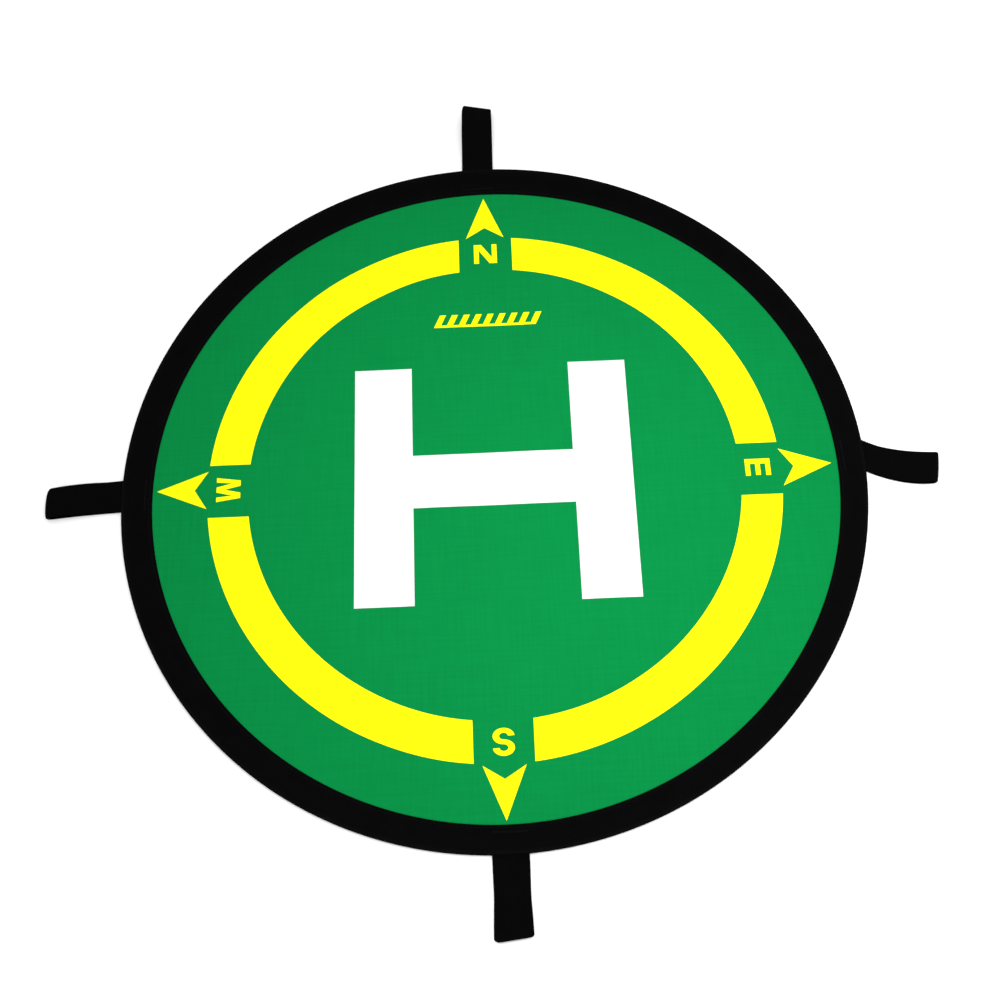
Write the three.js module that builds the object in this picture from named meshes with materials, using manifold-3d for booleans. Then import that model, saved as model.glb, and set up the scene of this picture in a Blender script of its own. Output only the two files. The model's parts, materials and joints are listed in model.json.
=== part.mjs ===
// Folding drone landing pad. Units are millimetres, +Z up, +Y towards the north arrow, +X towards east.
// The origin is the centre of the disc, on the ground that the pad lies on.
//
// The disc folds along its south-west to north-east diagonal. The distance across that fold line is
// called "across" here: negative in the north-west half, positive in the south-east half.
import * as THREE from "three";
import { mergeVertices } from "three/addons/utils/BufferGeometryUtils.js";
import Module from "manifold-3d";

const wasm = await Module();
wasm.setup();

// ---- Driving dimensions ----

const PAD_RADIUS = 275; // outside of the rim
const GREEN_RADIUS = 253.2; // inner edge of the binding tape
const RIM_HEIGHT = 5; // height of the bead that the hoop makes
const TAPE = 0.5; // thickness of the binding tape
const CLOTH = 0.3; // thickness of one panel
const INK = 0.12; // thickness of a printed film
const GAP = 0.3; // clearance where a piece is divided or meets another
const ROUND_SEGMENTS = 72;

const SPINE_WIDTH = 100; // the strip between the two bends of the fold

const HOOP = { inner: 273.1, outer: 273.9, low: 1.25, high: 3.75 }; // flat spring steel, on edge
const FERRULE = { inner: 272.3, outer: 274.4, low: 0.7, high: 4.3, round: 1, length: 25, azimuth: 157.5 };
const FERRULE_PLAY = 0.15; // between the ferrule's slot and the steel

const RING = { outer: 211.9, inner: 182, gapHalf: 21 };
const ARROW = { tip: 249.5, tail: 212, notch: 221.5, halfWidth: 15 };
const LETTER = { inner: 187, height: 18.3, stroke: 4 };
const H_MARK = { halfWidth: 103, halfHeight: 96, bar: 43.3, crossLow: -20.3, crossHigh: 22.2 };
const DASHES = { width: 84, low: 131, high: 142, line: 2, count: 9, slant: 5 };

const SEAM = { radius: 255.4, width: 0.7, height: 0.35 }; // stitching along the tape's inner edge
const BARTACK = { radius: 258.4, width: 1.6, height: 0.45 };

const WEBBING = { width: 25, thickness: 1.2, lift: 0.3 };
const LOOP_EYE = { start: 12, height: 6 }; // where the plies part, and how far at the middle
const LOOP_TAIL = { inner: 266.8, outer: 272, low: 0.85 };
const LOOPS = [
  { name: "n", azimuth: 90, offset: 3.4, reach: 334 },
  { name: "e", azimuth: 0, offset: 3, reach: 326 },
  { name: "s", azimuth: -90, offset: 2, reach: 329 },
  { name: "w", azimuth: 180, offset: 3, reach: 330 },
];

// ---- Materials ----

const material = (color, roughness, metalness = 0) =>
  new THREE.MeshStandardMaterial({ color, roughness, metalness });
const MATERIALS = {
  topCloth: material("#04964c", 0.75),
  bottomCloth: material("#0a7a42", 0.8),
  tape: material("#070708", 0.9),
  webbing: material("#060607", 0.88),
  thread: material("#0b0b0c", 0.7),
  yellowInk: material("#fefd18", 0.6),
  whiteInk: material("#f7fafc", 0.6),
  springSteel: material("#8a8d90", 0.35, 1),
  ferruleSteel: material("#b9bbbd", 0.3, 1),
};

// ---- Solids: three.js geometries that manifold-3d joins and cuts ----

function solid(geometry) {
  const plain = geometry.clone();
  plain.deleteAttribute("normal");
  plain.deleteAttribute("uv");
  const merged = mergeVertices(plain, 1e-4);
  return new wasm.Manifold(
    new wasm.Mesh({
      numProp: 3,
      vertProperties: new Float32Array(merged.attributes.position.array),
      triVerts: new Uint32Array(merged.index.array),
    }),
  );
}

function geometryOf(shape) {
  const mesh = shape.getMesh();
  const geometry = new THREE.BufferGeometry();
  geometry.setAttribute("position", new THREE.BufferAttribute(mesh.vertProperties, 3));
  geometry.setIndex(new THREE.BufferAttribute(mesh.triVerts, 1));
  geometry.computeVertexNormals();
  return geometry;
}

const radians = THREE.MathUtils.degToRad;
const point = (x, y) => new THREE.Vector2(x, y);

// A closed outline of [radius, height] points, turned round the Z axis.
function ring(outline) {
  const profile = [...outline, outline[0]].map(([radius, height]) => point(radius, height));
  return solid(new THREE.LatheGeometry(profile, ROUND_SEGMENTS).rotateX(Math.PI / 2));
}

// A flat disc between two heights.
function disc(radius, low, high) {
  const cylinder = new THREE.CylinderGeometry(radius, radius, high - low, ROUND_SEGMENTS);
  return solid(cylinder.rotateX(Math.PI / 2).translate(0, 0, (low + high) / 2));
}

// A flat shape given thickness upwards from a height.
function plate(shape, low, thickness) {
  const settings = { depth: thickness, bevelEnabled: false, curveSegments: 12 };
  return solid(new THREE.ExtrudeGeometry(shape, settings).translate(0, 0, low));
}

function block(low, high) {
  const size = high.map((value, axis) => value - low[axis]);
  const middle = high.map((value, axis) => (value + low[axis]) / 2);
  return solid(new THREE.BoxGeometry(...size).translate(...middle));
}

// The points of an arc in the plane, from one angle to another, in degrees.
function arc(x, y, radius, from, to, steps) {
  return Array.from({ length: steps + 1 }, (_, step) => {
    const angle = radians(from + ((to - from) * step) / steps);
    return [x + radius * Math.cos(angle), y + radius * Math.sin(angle)];
  });
}

const outlineShape = (points) => new THREE.Shape(points.map(([x, y]) => point(x, y)));

// ---- The fold: every piece that crosses it is divided along it ----

const REACH = 400; // past everything
const HALF_SPINE = SPINE_WIDTH / 2;

// A slab between two values of "across", and between two distances along the fold line.
function slab(acrossFrom, acrossTo, alongFrom = -REACH, alongTo = REACH) {
  const box = new THREE.BoxGeometry(acrossTo - acrossFrom, alongTo - alongFrom, REACH);
  box.translate((acrossFrom + acrossTo) / 2, (alongFrom + alongTo) / 2, 0);
  return solid(box.rotateZ(-Math.PI / 4));
}

const NORTH_WEST = slab(-REACH, -HALF_SPINE - GAP / 2);
const SOUTH_EAST = slab(HALF_SPINE + GAP / 2, REACH);
const SPINE = slab(-HALF_SPINE + GAP / 2, HALF_SPINE - GAP / 2);
const SPINE_NE = slab(-HALF_SPINE + GAP / 2, HALF_SPINE - GAP / 2, 0, REACH);
const SPINE_SW = slab(-HALF_SPINE + GAP / 2, HALF_SPINE - GAP / 2, -REACH, 0);

// ---- Assembly helpers ----

const group = new THREE.Group();
const north_west = new THREE.Group();
const spine = new THREE.Group();
const south_east = new THREE.Group();
group.add(north_west, spine, south_east);

function add(parent, name, shape, look) {
  const mesh = new THREE.Mesh(geometryOf(shape), look);
  mesh.name = name;
  parent.add(mesh);
}

// A piece that crosses the fold as one strip.
function addFolded(name, shape, look) {
  add(north_west, `${name}_nw`, shape.intersect(NORTH_WEST), look);
  add(spine, `${name}_spine`, shape.intersect(SPINE), look);
  add(south_east, `${name}_se`, shape.intersect(SOUTH_EAST), look);
}

// A ring that crosses the fold at two places.
function addFoldedRing(name, shape, look) {
  add(north_west, `${name}_nw`, shape.intersect(NORTH_WEST), look);
  add(spine, `${name}_spine_ne`, shape.intersect(SPINE_NE), look);
  add(spine, `${name}_spine_sw`, shape.intersect(SPINE_SW), look);
  add(south_east, `${name}_se`, shape.intersect(SOUTH_EAST), look);
}

// ---- Panels and rim ----

const BOTTOM_PANEL = TAPE;
const TOP_PANEL = BOTTOM_PANEL + CLOTH;
const PRINT = TOP_PANEL + CLOTH; // height of the top panel's face
const TAPE_TOP = PRINT + TAPE;
const PANEL_RADIUS = 264;

addFolded("bottom_panel", disc(PANEL_RADIUS, BOTTOM_PANEL, TOP_PANEL), MATERIALS.bottomCloth);
addFolded("top_panel", disc(PANEL_RADIUS, TOP_PANEL, PRINT), MATERIALS.topCloth);

// The tape runs flat under the panels, round the hoop as a bead, and down on to the top panel.
const CORNER = 1.8;
const corner = (radius, height, from, to) => arc(PAD_RADIUS - CORNER, height, radius, from, to, 4);
const binding = ring([
  [GREEN_RADIUS, 0],
  ...corner(CORNER, CORNER, -90, 0),
  ...corner(CORNER, RIM_HEIGHT - CORNER, 0, 90),
  [271, RIM_HEIGHT],
  [268.5, 4.6],
  [264, 2.3],
  [260.5, TAPE_TOP],
  [GREEN_RADIUS, TAPE_TOP],
  [GREEN_RADIUS, PRINT],
  [260.5, PRINT],
  [264, 1.8],
  [268.5, 4.1],
  [271, RIM_HEIGHT - TAPE],
  ...corner(CORNER - TAPE, RIM_HEIGHT - CORNER, 90, 0),
  ...corner(CORNER - TAPE, CORNER, 0, -90),
  [GREEN_RADIUS, TAPE],
]);
addFoldedRing("binding", binding, MATERIALS.tape);

const seamOutline = (radius, width, low, height) => [
  [radius - width / 2, low],
  [radius + width / 2, low],
  [radius + width / 4, low + height],
  [radius - width / 4, low + height],
];
addFoldedRing(
  "seam_thread",
  ring(seamOutline(SEAM.radius, SEAM.width, TAPE_TOP, SEAM.height)),
  MATERIALS.thread,
);

// ---- Sprung hoop, whose two ends meet inside a crimped ferrule ----

const hoop = ring([
  [HOOP.inner, HOOP.low],
  [HOOP.outer, HOOP.low],
  [HOOP.outer, HOOP.high],
  [HOOP.inner, HOOP.high],
]);
const butt = block([0, -GAP / 2, -REACH], [REACH, GAP / 2, REACH]).rotate([0, 0, FERRULE.azimuth]);
const [endA, endB] = hoop
  .intersect(NORTH_WEST)
  .subtract(butt)
  .decompose()
  .sort((a, b) => a.boundingBox().min[0] - b.boundingBox().min[0]);
add(north_west, "hoop_west_end", endA, MATERIALS.springSteel);
add(north_west, "hoop_north_end", endB, MATERIALS.springSteel);
add(spine, "hoop_spine_ne", hoop.intersect(SPINE_NE), MATERIALS.springSteel);
add(spine, "hoop_spine_sw", hoop.intersect(SPINE_SW), MATERIALS.springSteel);
add(south_east, "hoop_se", hoop.intersect(SOUTH_EAST), MATERIALS.springSteel);

const { inner, outer, low, high, round } = FERRULE;
const sleeve = ring([
  ...arc(inner + round, low + round, round, 180, 270, 3),
  ...arc(outer - round, low + round, round, 270, 360, 3),
  ...arc(outer - round, high - round, round, 0, 90, 3),
  ...arc(inner + round, high - round, round, 90, 180, 3),
]);
const slot = ring([
  [HOOP.inner - FERRULE_PLAY, HOOP.low - FERRULE_PLAY],
  [HOOP.outer + FERRULE_PLAY, HOOP.low - FERRULE_PLAY],
  [HOOP.outer + FERRULE_PLAY, HOOP.high + FERRULE_PLAY],
  [HOOP.inner - FERRULE_PLAY, HOOP.high + FERRULE_PLAY],
]);
const ferruleLength = block(
  [0, -FERRULE.length / 2, -REACH],
  [REACH, FERRULE.length / 2, REACH],
).rotate([0, 0, FERRULE.azimuth]);
add(north_west, "ferrule", sleeve.subtract(slot).intersect(ferruleLength), MATERIALS.ferruleSteel);

// ---- Print ----

const printed = (shape) => plate(shape, PRINT, INK);

function hShape() {
  const { halfWidth, halfHeight, bar, crossLow, crossHigh } = H_MARK;
  const inside = halfWidth - bar;
  return outlineShape([
    [-halfWidth, -halfHeight],
    [-inside, -halfHeight],
    [-inside, crossLow],
    [inside, crossLow],
    [inside, -halfHeight],
    [halfWidth, -halfHeight],
    [halfWidth, halfHeight],
    [inside, halfHeight],
    [inside, crossHigh],
    [-inside, crossHigh],
    [-inside, halfHeight],
    [-halfWidth, halfHeight],
  ]);
}
addFolded("print_h", printed(hShape()), MATERIALS.whiteInk);

// One quarter of the ring, in the quadrant of +X and +Y, with its ends parallel to the axes.
function ringQuarter() {
  const { outer: big, inner: small, gapHalf } = RING;
  const start = (radius) => THREE.MathUtils.radToDeg(Math.asin(gapHalf / radius));
  return outlineShape([
    ...arc(0, 0, big, start(big), 90 - start(big), 14),
    ...arc(0, 0, small, 90 - start(small), start(small), 14),
  ]);
}
const quarter = printed(ringQuarter());
addFolded("print_arc_ne", quarter, MATERIALS.yellowInk);
addFolded("print_arc_sw", quarter.rotate([0, 0, 180]), MATERIALS.yellowInk);
add(north_west, "print_arc_nw", quarter.rotate([0, 0, 90]), MATERIALS.yellowInk);
add(south_east, "print_arc_se", quarter.rotate([0, 0, -90]), MATERIALS.yellowInk);

const arrowShape = outlineShape([
  [0, ARROW.tip],
  [-ARROW.halfWidth, ARROW.tail],
  [0, ARROW.notch],
  [ARROW.halfWidth, ARROW.tail],
]);

// Letters stand on y = 0 and are centred on x = 0.
const { height: CAP, stroke: STROKE } = LETTER;

function letterN() {
  const half = 9.25;
  const join = STROKE * 1.5; // how far the diagonal runs along the top and bottom edges
  return outlineShape([
    [-half, 0],
    [-half + STROKE, 0],
    [-half + STROKE, CAP * 0.69],
    [half - join, 0],
    [half, 0],
    [half, CAP],
    [half - STROKE, CAP],
    [half - STROKE, CAP * 0.31],
    [-half + join, CAP],
    [-half, CAP],
  ]);
}

function letterE() {
  const half = 6.75;
  const arm = 3.5;
  const armLow = (CAP - arm) / 2;
  return outlineShape([
    [-half, 0],
    [half, 0],
    [half, arm],
    [-half + STROKE, arm],
    [-half + STROKE, armLow],
    [half - 0.4, armLow],
    [half - 0.4, armLow + arm],
    [-half + STROKE, armLow + arm],
    [-half + STROKE, CAP - arm],
    [half, CAP - arm],
    [half, CAP],
    [-half, CAP],
  ]);
}

function letterW() {
  const half = 9.5;
  const foot = 4.8; // where each lower point stands
  const leg = 2.1; // half of a lower point's width
  const peak = 2; // half of the middle peak's width
  const right = [
    [foot - leg, 0],
    [foot + leg, 0],
    [half, CAP],
    [half - 3.6, CAP],
    [foot, CAP * 0.35],
    [peak, CAP],
  ];
  const left = right.map(([x, y]) => [-x, y]).reverse();
  return outlineShape([...right, ...left, [-foot + leg, 0], [0, CAP * 0.66]]);
}

// Two bowls, each a little over half a turn, joined by a slanting spine.
function letterS() {
  const stroke = 3.2; // before the stretch
  const bowl = (CAP - stroke) / 4; // centreline radius of one bowl
  const stretch = 1.27; // bowls are wider than they are tall
  const upper = CAP - stroke / 2 - bowl;
  const lower = stroke / 2 + bowl;
  const side = (half) => [
    ...arc(0, upper, bowl + half, 4, 270, 10),
    ...arc(0, lower, bowl - half, 90, -176, 10),
  ];
  const back = (half) => [
    ...arc(0, lower, bowl + half, -176, 90, 10),
    ...arc(0, upper, bowl - half, 270, 4, 10),
  ];
  const points = [...side(stroke / 2), ...back(stroke / 2)];
  return outlineShape(points.map(([x, y]) => [x * stretch, y]));
}

const LETTERS = { n: letterN, e: letterE, s: letterS, w: letterW };
for (const { name, azimuth } of LOOPS) {
  const half = name === "n" || name === "w" ? north_west : south_east;
  const turn = [0, 0, azimuth - 90];
  const letter = printed(LETTERS[name]()).translate([0, LETTER.inner, 0]);
  add(half, `print_arrow_${name}`, printed(arrowShape).rotate(turn), MATERIALS.yellowInk);
  add(half, `print_letter_${name}`, letter.rotate(turn), MATERIALS.yellowInk);
}

// A row of slanted dashes on a line.
function dashRow() {
  const { width, low: foot, high: top, line, count, slant } = DASHES;
  const pitch = (width - slant) / (count - 0.5);
  const points = [
    [-width / 2, foot],
    [width / 2 - slant, foot],
    [width / 2 - slant, foot + line],
  ];
  for (let dash = count - 1; dash >= 0; dash -= 1) {
    const left = -width / 2 + dash * pitch;
    const right = left + pitch / 2;
    const rise = (slant * line) / (top - foot);
    points.push([right + rise, foot + line], [right + slant, top], [left + slant, top]);
    if (dash > 0) points.push([left + rise, foot + line]);
  }
  return outlineShape(points);
}
add(north_west, "print_dashes", printed(dashRow()), MATERIALS.yellowInk);

// ---- Peg loops ----

// A loop's side view, with x running out from the rim. Two plies lie together at the rim, part into an
// eye and turn round into each other at the far end.
function loopSideView(length) {
  const { thickness, lift } = WEBBING;
  const base = GAP;
  const far = base + length;
  const steps = 8;
  const opening = (along) => LOOP_EYE.height * Math.sin((Math.PI / 2) * along);
  const crown = far - LOOP_EYE.height / 2 - thickness; // where the round end begins
  const upper = Array.from({ length: steps + 1 }, (_, step) => {
    const along = step / steps;
    return [LOOP_EYE.start + (crown - LOOP_EYE.start) * along, lift + thickness + opening(along)];
  });
  const middle = lift + thickness + LOOP_EYE.height / 2;
  const outside = arc(crown, middle, LOOP_EYE.height / 2 + thickness, -90, 90, 8);
  const shape = outlineShape([
    [base, lift],
    ...outside,
    ...upper.slice(0, -1).reverse().map(([x, z]) => [x, z + thickness]),
    [base, lift + 2 * thickness],
  ]);
  const inside = arc(crown, middle, LOOP_EYE.height / 2, -90, 90, 8);
  shape.holes.push(
    new THREE.Path([...inside, ...upper.slice(0, -1).reverse()].map(([x, z]) => point(x, z))),
  );
  return shape;
}

for (const { name, azimuth, offset, reach } of LOOPS) {
  const turn = azimuth - 90;
  const place = (shape) => shape.translate([-offset, 0, 0]).rotate([0, 0, turn]);
  const half = WEBBING.width / 2;
  const settings = { depth: WEBBING.width, bevelEnabled: false, curveSegments: 8 };
  const side = new THREE.ExtrudeGeometry(loopSideView(reach - PAD_RADIUS - GAP), settings);
  // Shape x becomes +Y, shape y becomes +Z, and the extrusion runs across the webbing.
  side.applyMatrix4(new THREE.Matrix4().set(0, 0, 1, -half, 1, 0, 0, PAD_RADIUS, 0, 1, 0, 0, 0, 0, 0, 1));
  const loop = new THREE.Group();
  group.add(loop);
  add(loop, `loop_${name}`, place(solid(side)), MATERIALS.webbing);

  const rimGroup = name === "n" || name === "w" ? north_west : south_east;
  const tail = block(
    [-half, LOOP_TAIL.inner, LOOP_TAIL.low],
    [half, LOOP_TAIL.outer, LOOP_TAIL.low + 2 * WEBBING.thickness],
  );
  add(rimGroup, `loop_tail_${name}`, place(tail), MATERIALS.webbing);
  const tack = block(
    [-half, BARTACK.radius - BARTACK.width / 2, TAPE_TOP],
    [half, BARTACK.radius + BARTACK.width / 2, TAPE_TOP + BARTACK.height],
  );
  add(rimGroup, `bartack_${name}`, place(tack), MATERIALS.thread);
}

export default group;
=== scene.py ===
import json
import math
from typing import NamedTuple

import bpy
import numpy as np
from bpy.props import FloatProperty, FloatVectorProperty, IntProperty, PointerProperty
from mathutils import Matrix, Vector
from mathutils.geometry import delaunay_2d_cdt


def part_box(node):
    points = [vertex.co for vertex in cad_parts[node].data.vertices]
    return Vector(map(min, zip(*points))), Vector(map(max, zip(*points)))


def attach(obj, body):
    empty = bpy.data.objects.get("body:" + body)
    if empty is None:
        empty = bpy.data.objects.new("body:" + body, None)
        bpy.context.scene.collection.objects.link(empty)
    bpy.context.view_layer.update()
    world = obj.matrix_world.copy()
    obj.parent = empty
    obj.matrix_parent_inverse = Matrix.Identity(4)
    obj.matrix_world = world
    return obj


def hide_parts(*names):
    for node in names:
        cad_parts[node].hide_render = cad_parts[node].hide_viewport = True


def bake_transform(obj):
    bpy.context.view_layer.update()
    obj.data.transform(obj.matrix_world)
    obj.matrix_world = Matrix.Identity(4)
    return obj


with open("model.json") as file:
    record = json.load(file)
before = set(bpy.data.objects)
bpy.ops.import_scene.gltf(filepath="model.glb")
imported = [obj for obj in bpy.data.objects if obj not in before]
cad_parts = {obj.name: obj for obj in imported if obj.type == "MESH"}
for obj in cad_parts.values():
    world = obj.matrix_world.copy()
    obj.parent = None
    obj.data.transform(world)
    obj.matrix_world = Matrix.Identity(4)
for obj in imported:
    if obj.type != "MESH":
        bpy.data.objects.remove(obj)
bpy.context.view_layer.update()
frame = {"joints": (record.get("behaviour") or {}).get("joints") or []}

bl_info = {
    "name": "Folding drone landing pad",
    "version": (1, 0, 0),
    "blender": (4, 5, 0),
    "location": "View3D > Sidebar > Landing Pad",
    "description": "Builds the cloth, print, sewn rim, hoop and peg loops of a folding drone landing pad",
    "category": "Add Mesh",
}

CUT = "Cut"  # the UV map of every piece: metres along and across the cloth, tape, webbing or thread

# ---- Places read from the frame, in metres. +Y is north, +X is east, and z = 0 is the ground. ----

PAD_RADIUS = -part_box("binding_nw")[0].x
RIM_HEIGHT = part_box("binding_nw")[1].z
PANEL_RADIUS = -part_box("top_panel_nw")[0].x
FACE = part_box("top_panel_nw")[1].z  # the top cloth's upper face
CLOTH_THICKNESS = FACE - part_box("top_panel_nw")[0].z
TAPE_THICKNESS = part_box("bottom_panel_nw")[0].z  # the lower ply lies under the bottom cloth
TAPE_TOP = FACE + TAPE_THICKNESS
SEAM_HALF_WIDTH = 0.00035  # of the CAD thread
SEAM_RADIUS = -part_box("seam_thread_nw")[0].x - SEAM_HALF_WIDTH
UNDER_TAPE = 0.012  # width of the panels' margin that lies flat under the tape
H_HALF_WIDTH = -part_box("print_h_nw")[0].x
H_HALF_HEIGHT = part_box("print_h_nw")[1].y
RING_RADIUS = math.hypot(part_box("print_arc_nw")[0].x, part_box("print_arc_nw")[1].x)
RING_GAP = -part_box("print_arc_nw")[1].x  # half of the gap between two arcs
ARROW_TAIL, ARROW_TIP = (corner.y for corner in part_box("print_arrow_n"))
ARROW_HALF_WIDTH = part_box("print_arrow_n")[1].x
LETTER_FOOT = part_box("print_letter_n")[0].y
LETTER_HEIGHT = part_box("print_letter_n")[1].y - LETTER_FOOT
DASHES_LOW, DASHES_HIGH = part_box("print_dashes")
HOOP_LOW, HOOP_HIGH = (corner.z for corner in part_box("hoop_west_end"))
HOOP_RADIUS = -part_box("hoop_west_end")[0].x
FERRULE_ANGLE = math.atan2(*(sum(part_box("ferrule"), Vector()).yx))
BARTACK_RADIUS = sum(corner.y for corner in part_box("bartack_n")) / 2
TAIL_INNER, TAIL_OUTER = (corner.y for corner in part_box("loop_tail_n"))
TAIL_LOW, TAIL_HIGH = (corner.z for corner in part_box("loop_tail_n"))
JOINTS = {joint["name"]: joint for joint in frame["joints"]}


class PadHalf(NamedTuple):
    """One half of everything that crosses the fold, which runs from south-west to north-east."""

    name: str
    start: float  # angle where the half begins, anticlockwise from east
    side: int  # sign of the distance across the fold line


HALVES = (PadHalf("nw", math.radians(45), -1), PadHalf("se", math.radians(-135), 1))


class PegLoop(NamedTuple):
    """How one peg loop lies. Sideways values are to the left as one looks out from the pad's centre."""

    name: str
    half: str
    azimuth: float  # degrees
    drift: tuple  # sideways place: at the rim, and what grows with the share out and with its square
    wave: float = 0.0  # sideways bow half way out
    eye: float = 0.004  # how far the plies stand apart at the far end
    twist: float = 0.0  # degrees that the far end leans, left edge up
    skew: float = 0.0  # how much further out the left corner lies than the middle
    bow: float = 0.0  # how far the middle of the far end stands out past its corners
    splay: float = 0.0  # how far each ply slides sideways off the other at the far end
    longer: float = 0.0  # how much longer it lies than the plain loop
    waist: float = 0.0  # share of the width that is pulled in half way out
    taper: float = 0.0  # share of the width that is lost at the far end
    corners: tuple = (0.0, 0.0)  # how far the right and the left corner are worn back


PEG_LOOPS = (
    PegLoop("n", "nw", 90, (0.0039, -0.0011, 0.0), twist=22, skew=-0.0012, taper=0.05, longer=0.0014),
    PegLoop("e", "se", 0, (0.0066, -0.028, 0.0152), bow=0.0005, skew=0.002, taper=0.08, eye=0.0035),
    PegLoop("s", "se", -90, (0.002, 0.0, 0.0), skew=-0.0015, splay=0.0007, waist=0.03, longer=-0.0019,
            corners=(0.0018, 0.0004), eye=0.003),
    PegLoop("w", "nw", 180, (0.001, 0.0044, 0.0), wave=-0.0007, bow=0.001, taper=0.08,
            corners=(0.001, 0.0003), eye=0.0035),
)


# ---- Settings ----


def length(name, description, default, **more):
    """A property that holds a length in metres."""
    return FloatProperty(
        name=name, description=description, default=default, unit="LENGTH", precision=5, **more
    )


def colour(name, description, default):
    """A property that holds a linear colour."""
    return FloatVectorProperty(
        name=name, description=description, default=default, subtype="COLOR", size=3, min=0, max=1
    )


class ClothSettings(bpy.types.PropertyGroup):
    """The two round panels."""

    steps: IntProperty(name="Steps", description="Grid steps from the centre to the edge", default=96)
    slack: length("Slack", "Height of the long soft waves in the stretched cloth", 0.00024)
    waves: IntProperty(name="Waves", description="How many plane waves make up the slack", default=9)
    shortest: length("Shortest wave", "Length of the shortest wave of the slack", 0.048)
    longest: length("Longest wave", "Length of the longest wave of the slack", 0.115)
    calm: length("Calm margin", "Width inside the tape over which the slack dies away", 0.05)
    pucker: length("Pucker", "Height of the short puckers that the seam pulls", 0.00013)
    puckers: IntProperty(name="Puckers", description="How many puckers stand round the seam", default=74)
    pucker_reach: length("Pucker reach", "How far the puckers run in from the tape", 0.011)
    green: colour("Green", "Dye of the top cloth", (0.001, 0.168, 0.0365))
    under_green: colour("Under green", "Dye of the bottom cloth", (0.003, 0.16, 0.05))


class PrintSettings(bpy.types.PropertyGroup):
    """What is printed on the top cloth."""

    film: length("Film", "How far the ink stands proud of the cloth", 0.00008)
    depth: length("Film depth", "Whole depth of the ink, with what has sunk in", 0.00014)
    mesh: length("Mesh", "Spacing of the points inside a printed shape", 0.0045)
    bar: length("H bar", "Width of the H's two uprights", 0.0433)
    cross_low: length("Crossbar low", "Lower edge of the H's crossbar", -0.0203)
    cross_high: length("Crossbar high", "Upper edge of the H's crossbar", 0.0222)
    ring_width: length("Ring width", "Width of the ring's four arcs", 0.0299)
    notch: length("Arrow notch", "Depth of the notch in an arrow's tail", 0.0095)
    stroke: length("Letter stroke", "Width of a compass letter's strokes", 0.004)
    dashes: IntProperty(name="Dashes", description="How many slanted dashes stand in the row", default=9)
    dash_line: length("Dash line", "Thickness of the line under the dashes", 0.002)
    slant: length("Dash slant", "How far a dash leans over its height", 0.005)
    white: colour("White ink", "Ink of the H", (0.6, 0.62, 0.635))
    yellow: colour("Yellow ink", "Ink of the ring, arrows, letters and dashes", (0.8, 0.76, 0.003))


class RimSettings(bpy.types.PropertyGroup):
    """The binding tape, its seam and the hoop inside it."""

    tape_width: length("Tape width", "From the outside of the rim to the tape's sewn edge", 0.0218)
    corner: length("Bead corner", "Radius of the bead's outer corners", 0.0018)
    slope_start: length("Slope start", "Radius where the tape leaves the cloth", 0.2605)
    slope_end: length("Slope end", "Radius where the tape reaches the top of the bead", 0.271)
    steps: IntProperty(name="Steps", description="Steps of the tape round half of the rim", default=620)
    ripple: length("Ripple", "Height of the ripples in the tape's slope", 0.00034)
    bulge: length("Bulge", "How far the tape stands up over the ends of the peg loops", 0.0005)
    furrow: length("Furrow", "How deep the seam sinks into the tape", 0.00013)
    draw_in: length("Draw in", "How much closer the rim lies than a slack tape would put it", 0.0006)
    oval: length("Oval", "How far the rim departs from a true circle", 0.0005)
    oval_angle: FloatProperty(
        name="Oval angle", description="Where the oval is longest", default=math.radians(55),
        unit="ROTATION",
    )
    rim_drift: FloatVectorProperty(
        name="Rim drift", description="Where the rim's centre lies", default=(-0.0007, 0.0018),
        size=2, unit="LENGTH", precision=5,
    )
    edge_drift: FloatVectorProperty(
        name="Edge drift", description="Where the centre of the tape's sewn edge lies",
        default=(0.0005, 0.0004), size=2, unit="LENGTH", precision=5,
    )
    stitch: length("Stitch", "From one stitch of the seam to the next", 0.003)
    thread: length("Thread", "Thickness of the sewing thread", 0.00042)
    hoop_thickness: length("Hoop thickness", "Thickness of the flat spring steel", 0.0008)
    hoop_gap: length("Hoop gap", "Between the hoop's two ends, inside the ferrule", 0.0003)
    ferrule_wall: length("Ferrule wall", "Thickness of the ferrule's wall", 0.0005)
    ferrule_length: length("Ferrule length", "Length of the ferrule along the hoop", 0.025)
    steel: colour("Spring steel", "Tint of the hoop", (0.3, 0.31, 0.33))
    plating: colour("Plating", "Tint of the ferrule", (0.55, 0.56, 0.56))
    black: colour("Tape black", "Dye of the binding tape", (0.0014, 0.0014, 0.0016))
    thread_black: colour("Thread black", "Dye of the thread", (0.003, 0.003, 0.0033))


class WebbingSettings(bpy.types.PropertyGroup):
    """The four peg loops."""

    width: length("Width", "Width of the webbing", 0.025)
    thickness: length("Thickness", "Thickness of the webbing", 0.0012)
    tuck: length("Tuck", "How far a loop runs in under the tape", 0.0011)
    eye_start: length("Eye start", "How far out the two plies part", 0.012)
    bend: length("Bend", "Length of webbing that bends when a loop is flipped", 0.008)
    steps: IntProperty(name="Steps", description="Steps along one ply", default=84)
    tack_wave: length("Bartack wave", "Length of one zigzag of a bartack", 0.0011)
    tack_swing: length("Bartack swing", "How far a zigzag swings to each side", 0.0007)
    black: colour("Webbing black", "Dye of the webbing", (0.0013, 0.0013, 0.0015))


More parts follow.
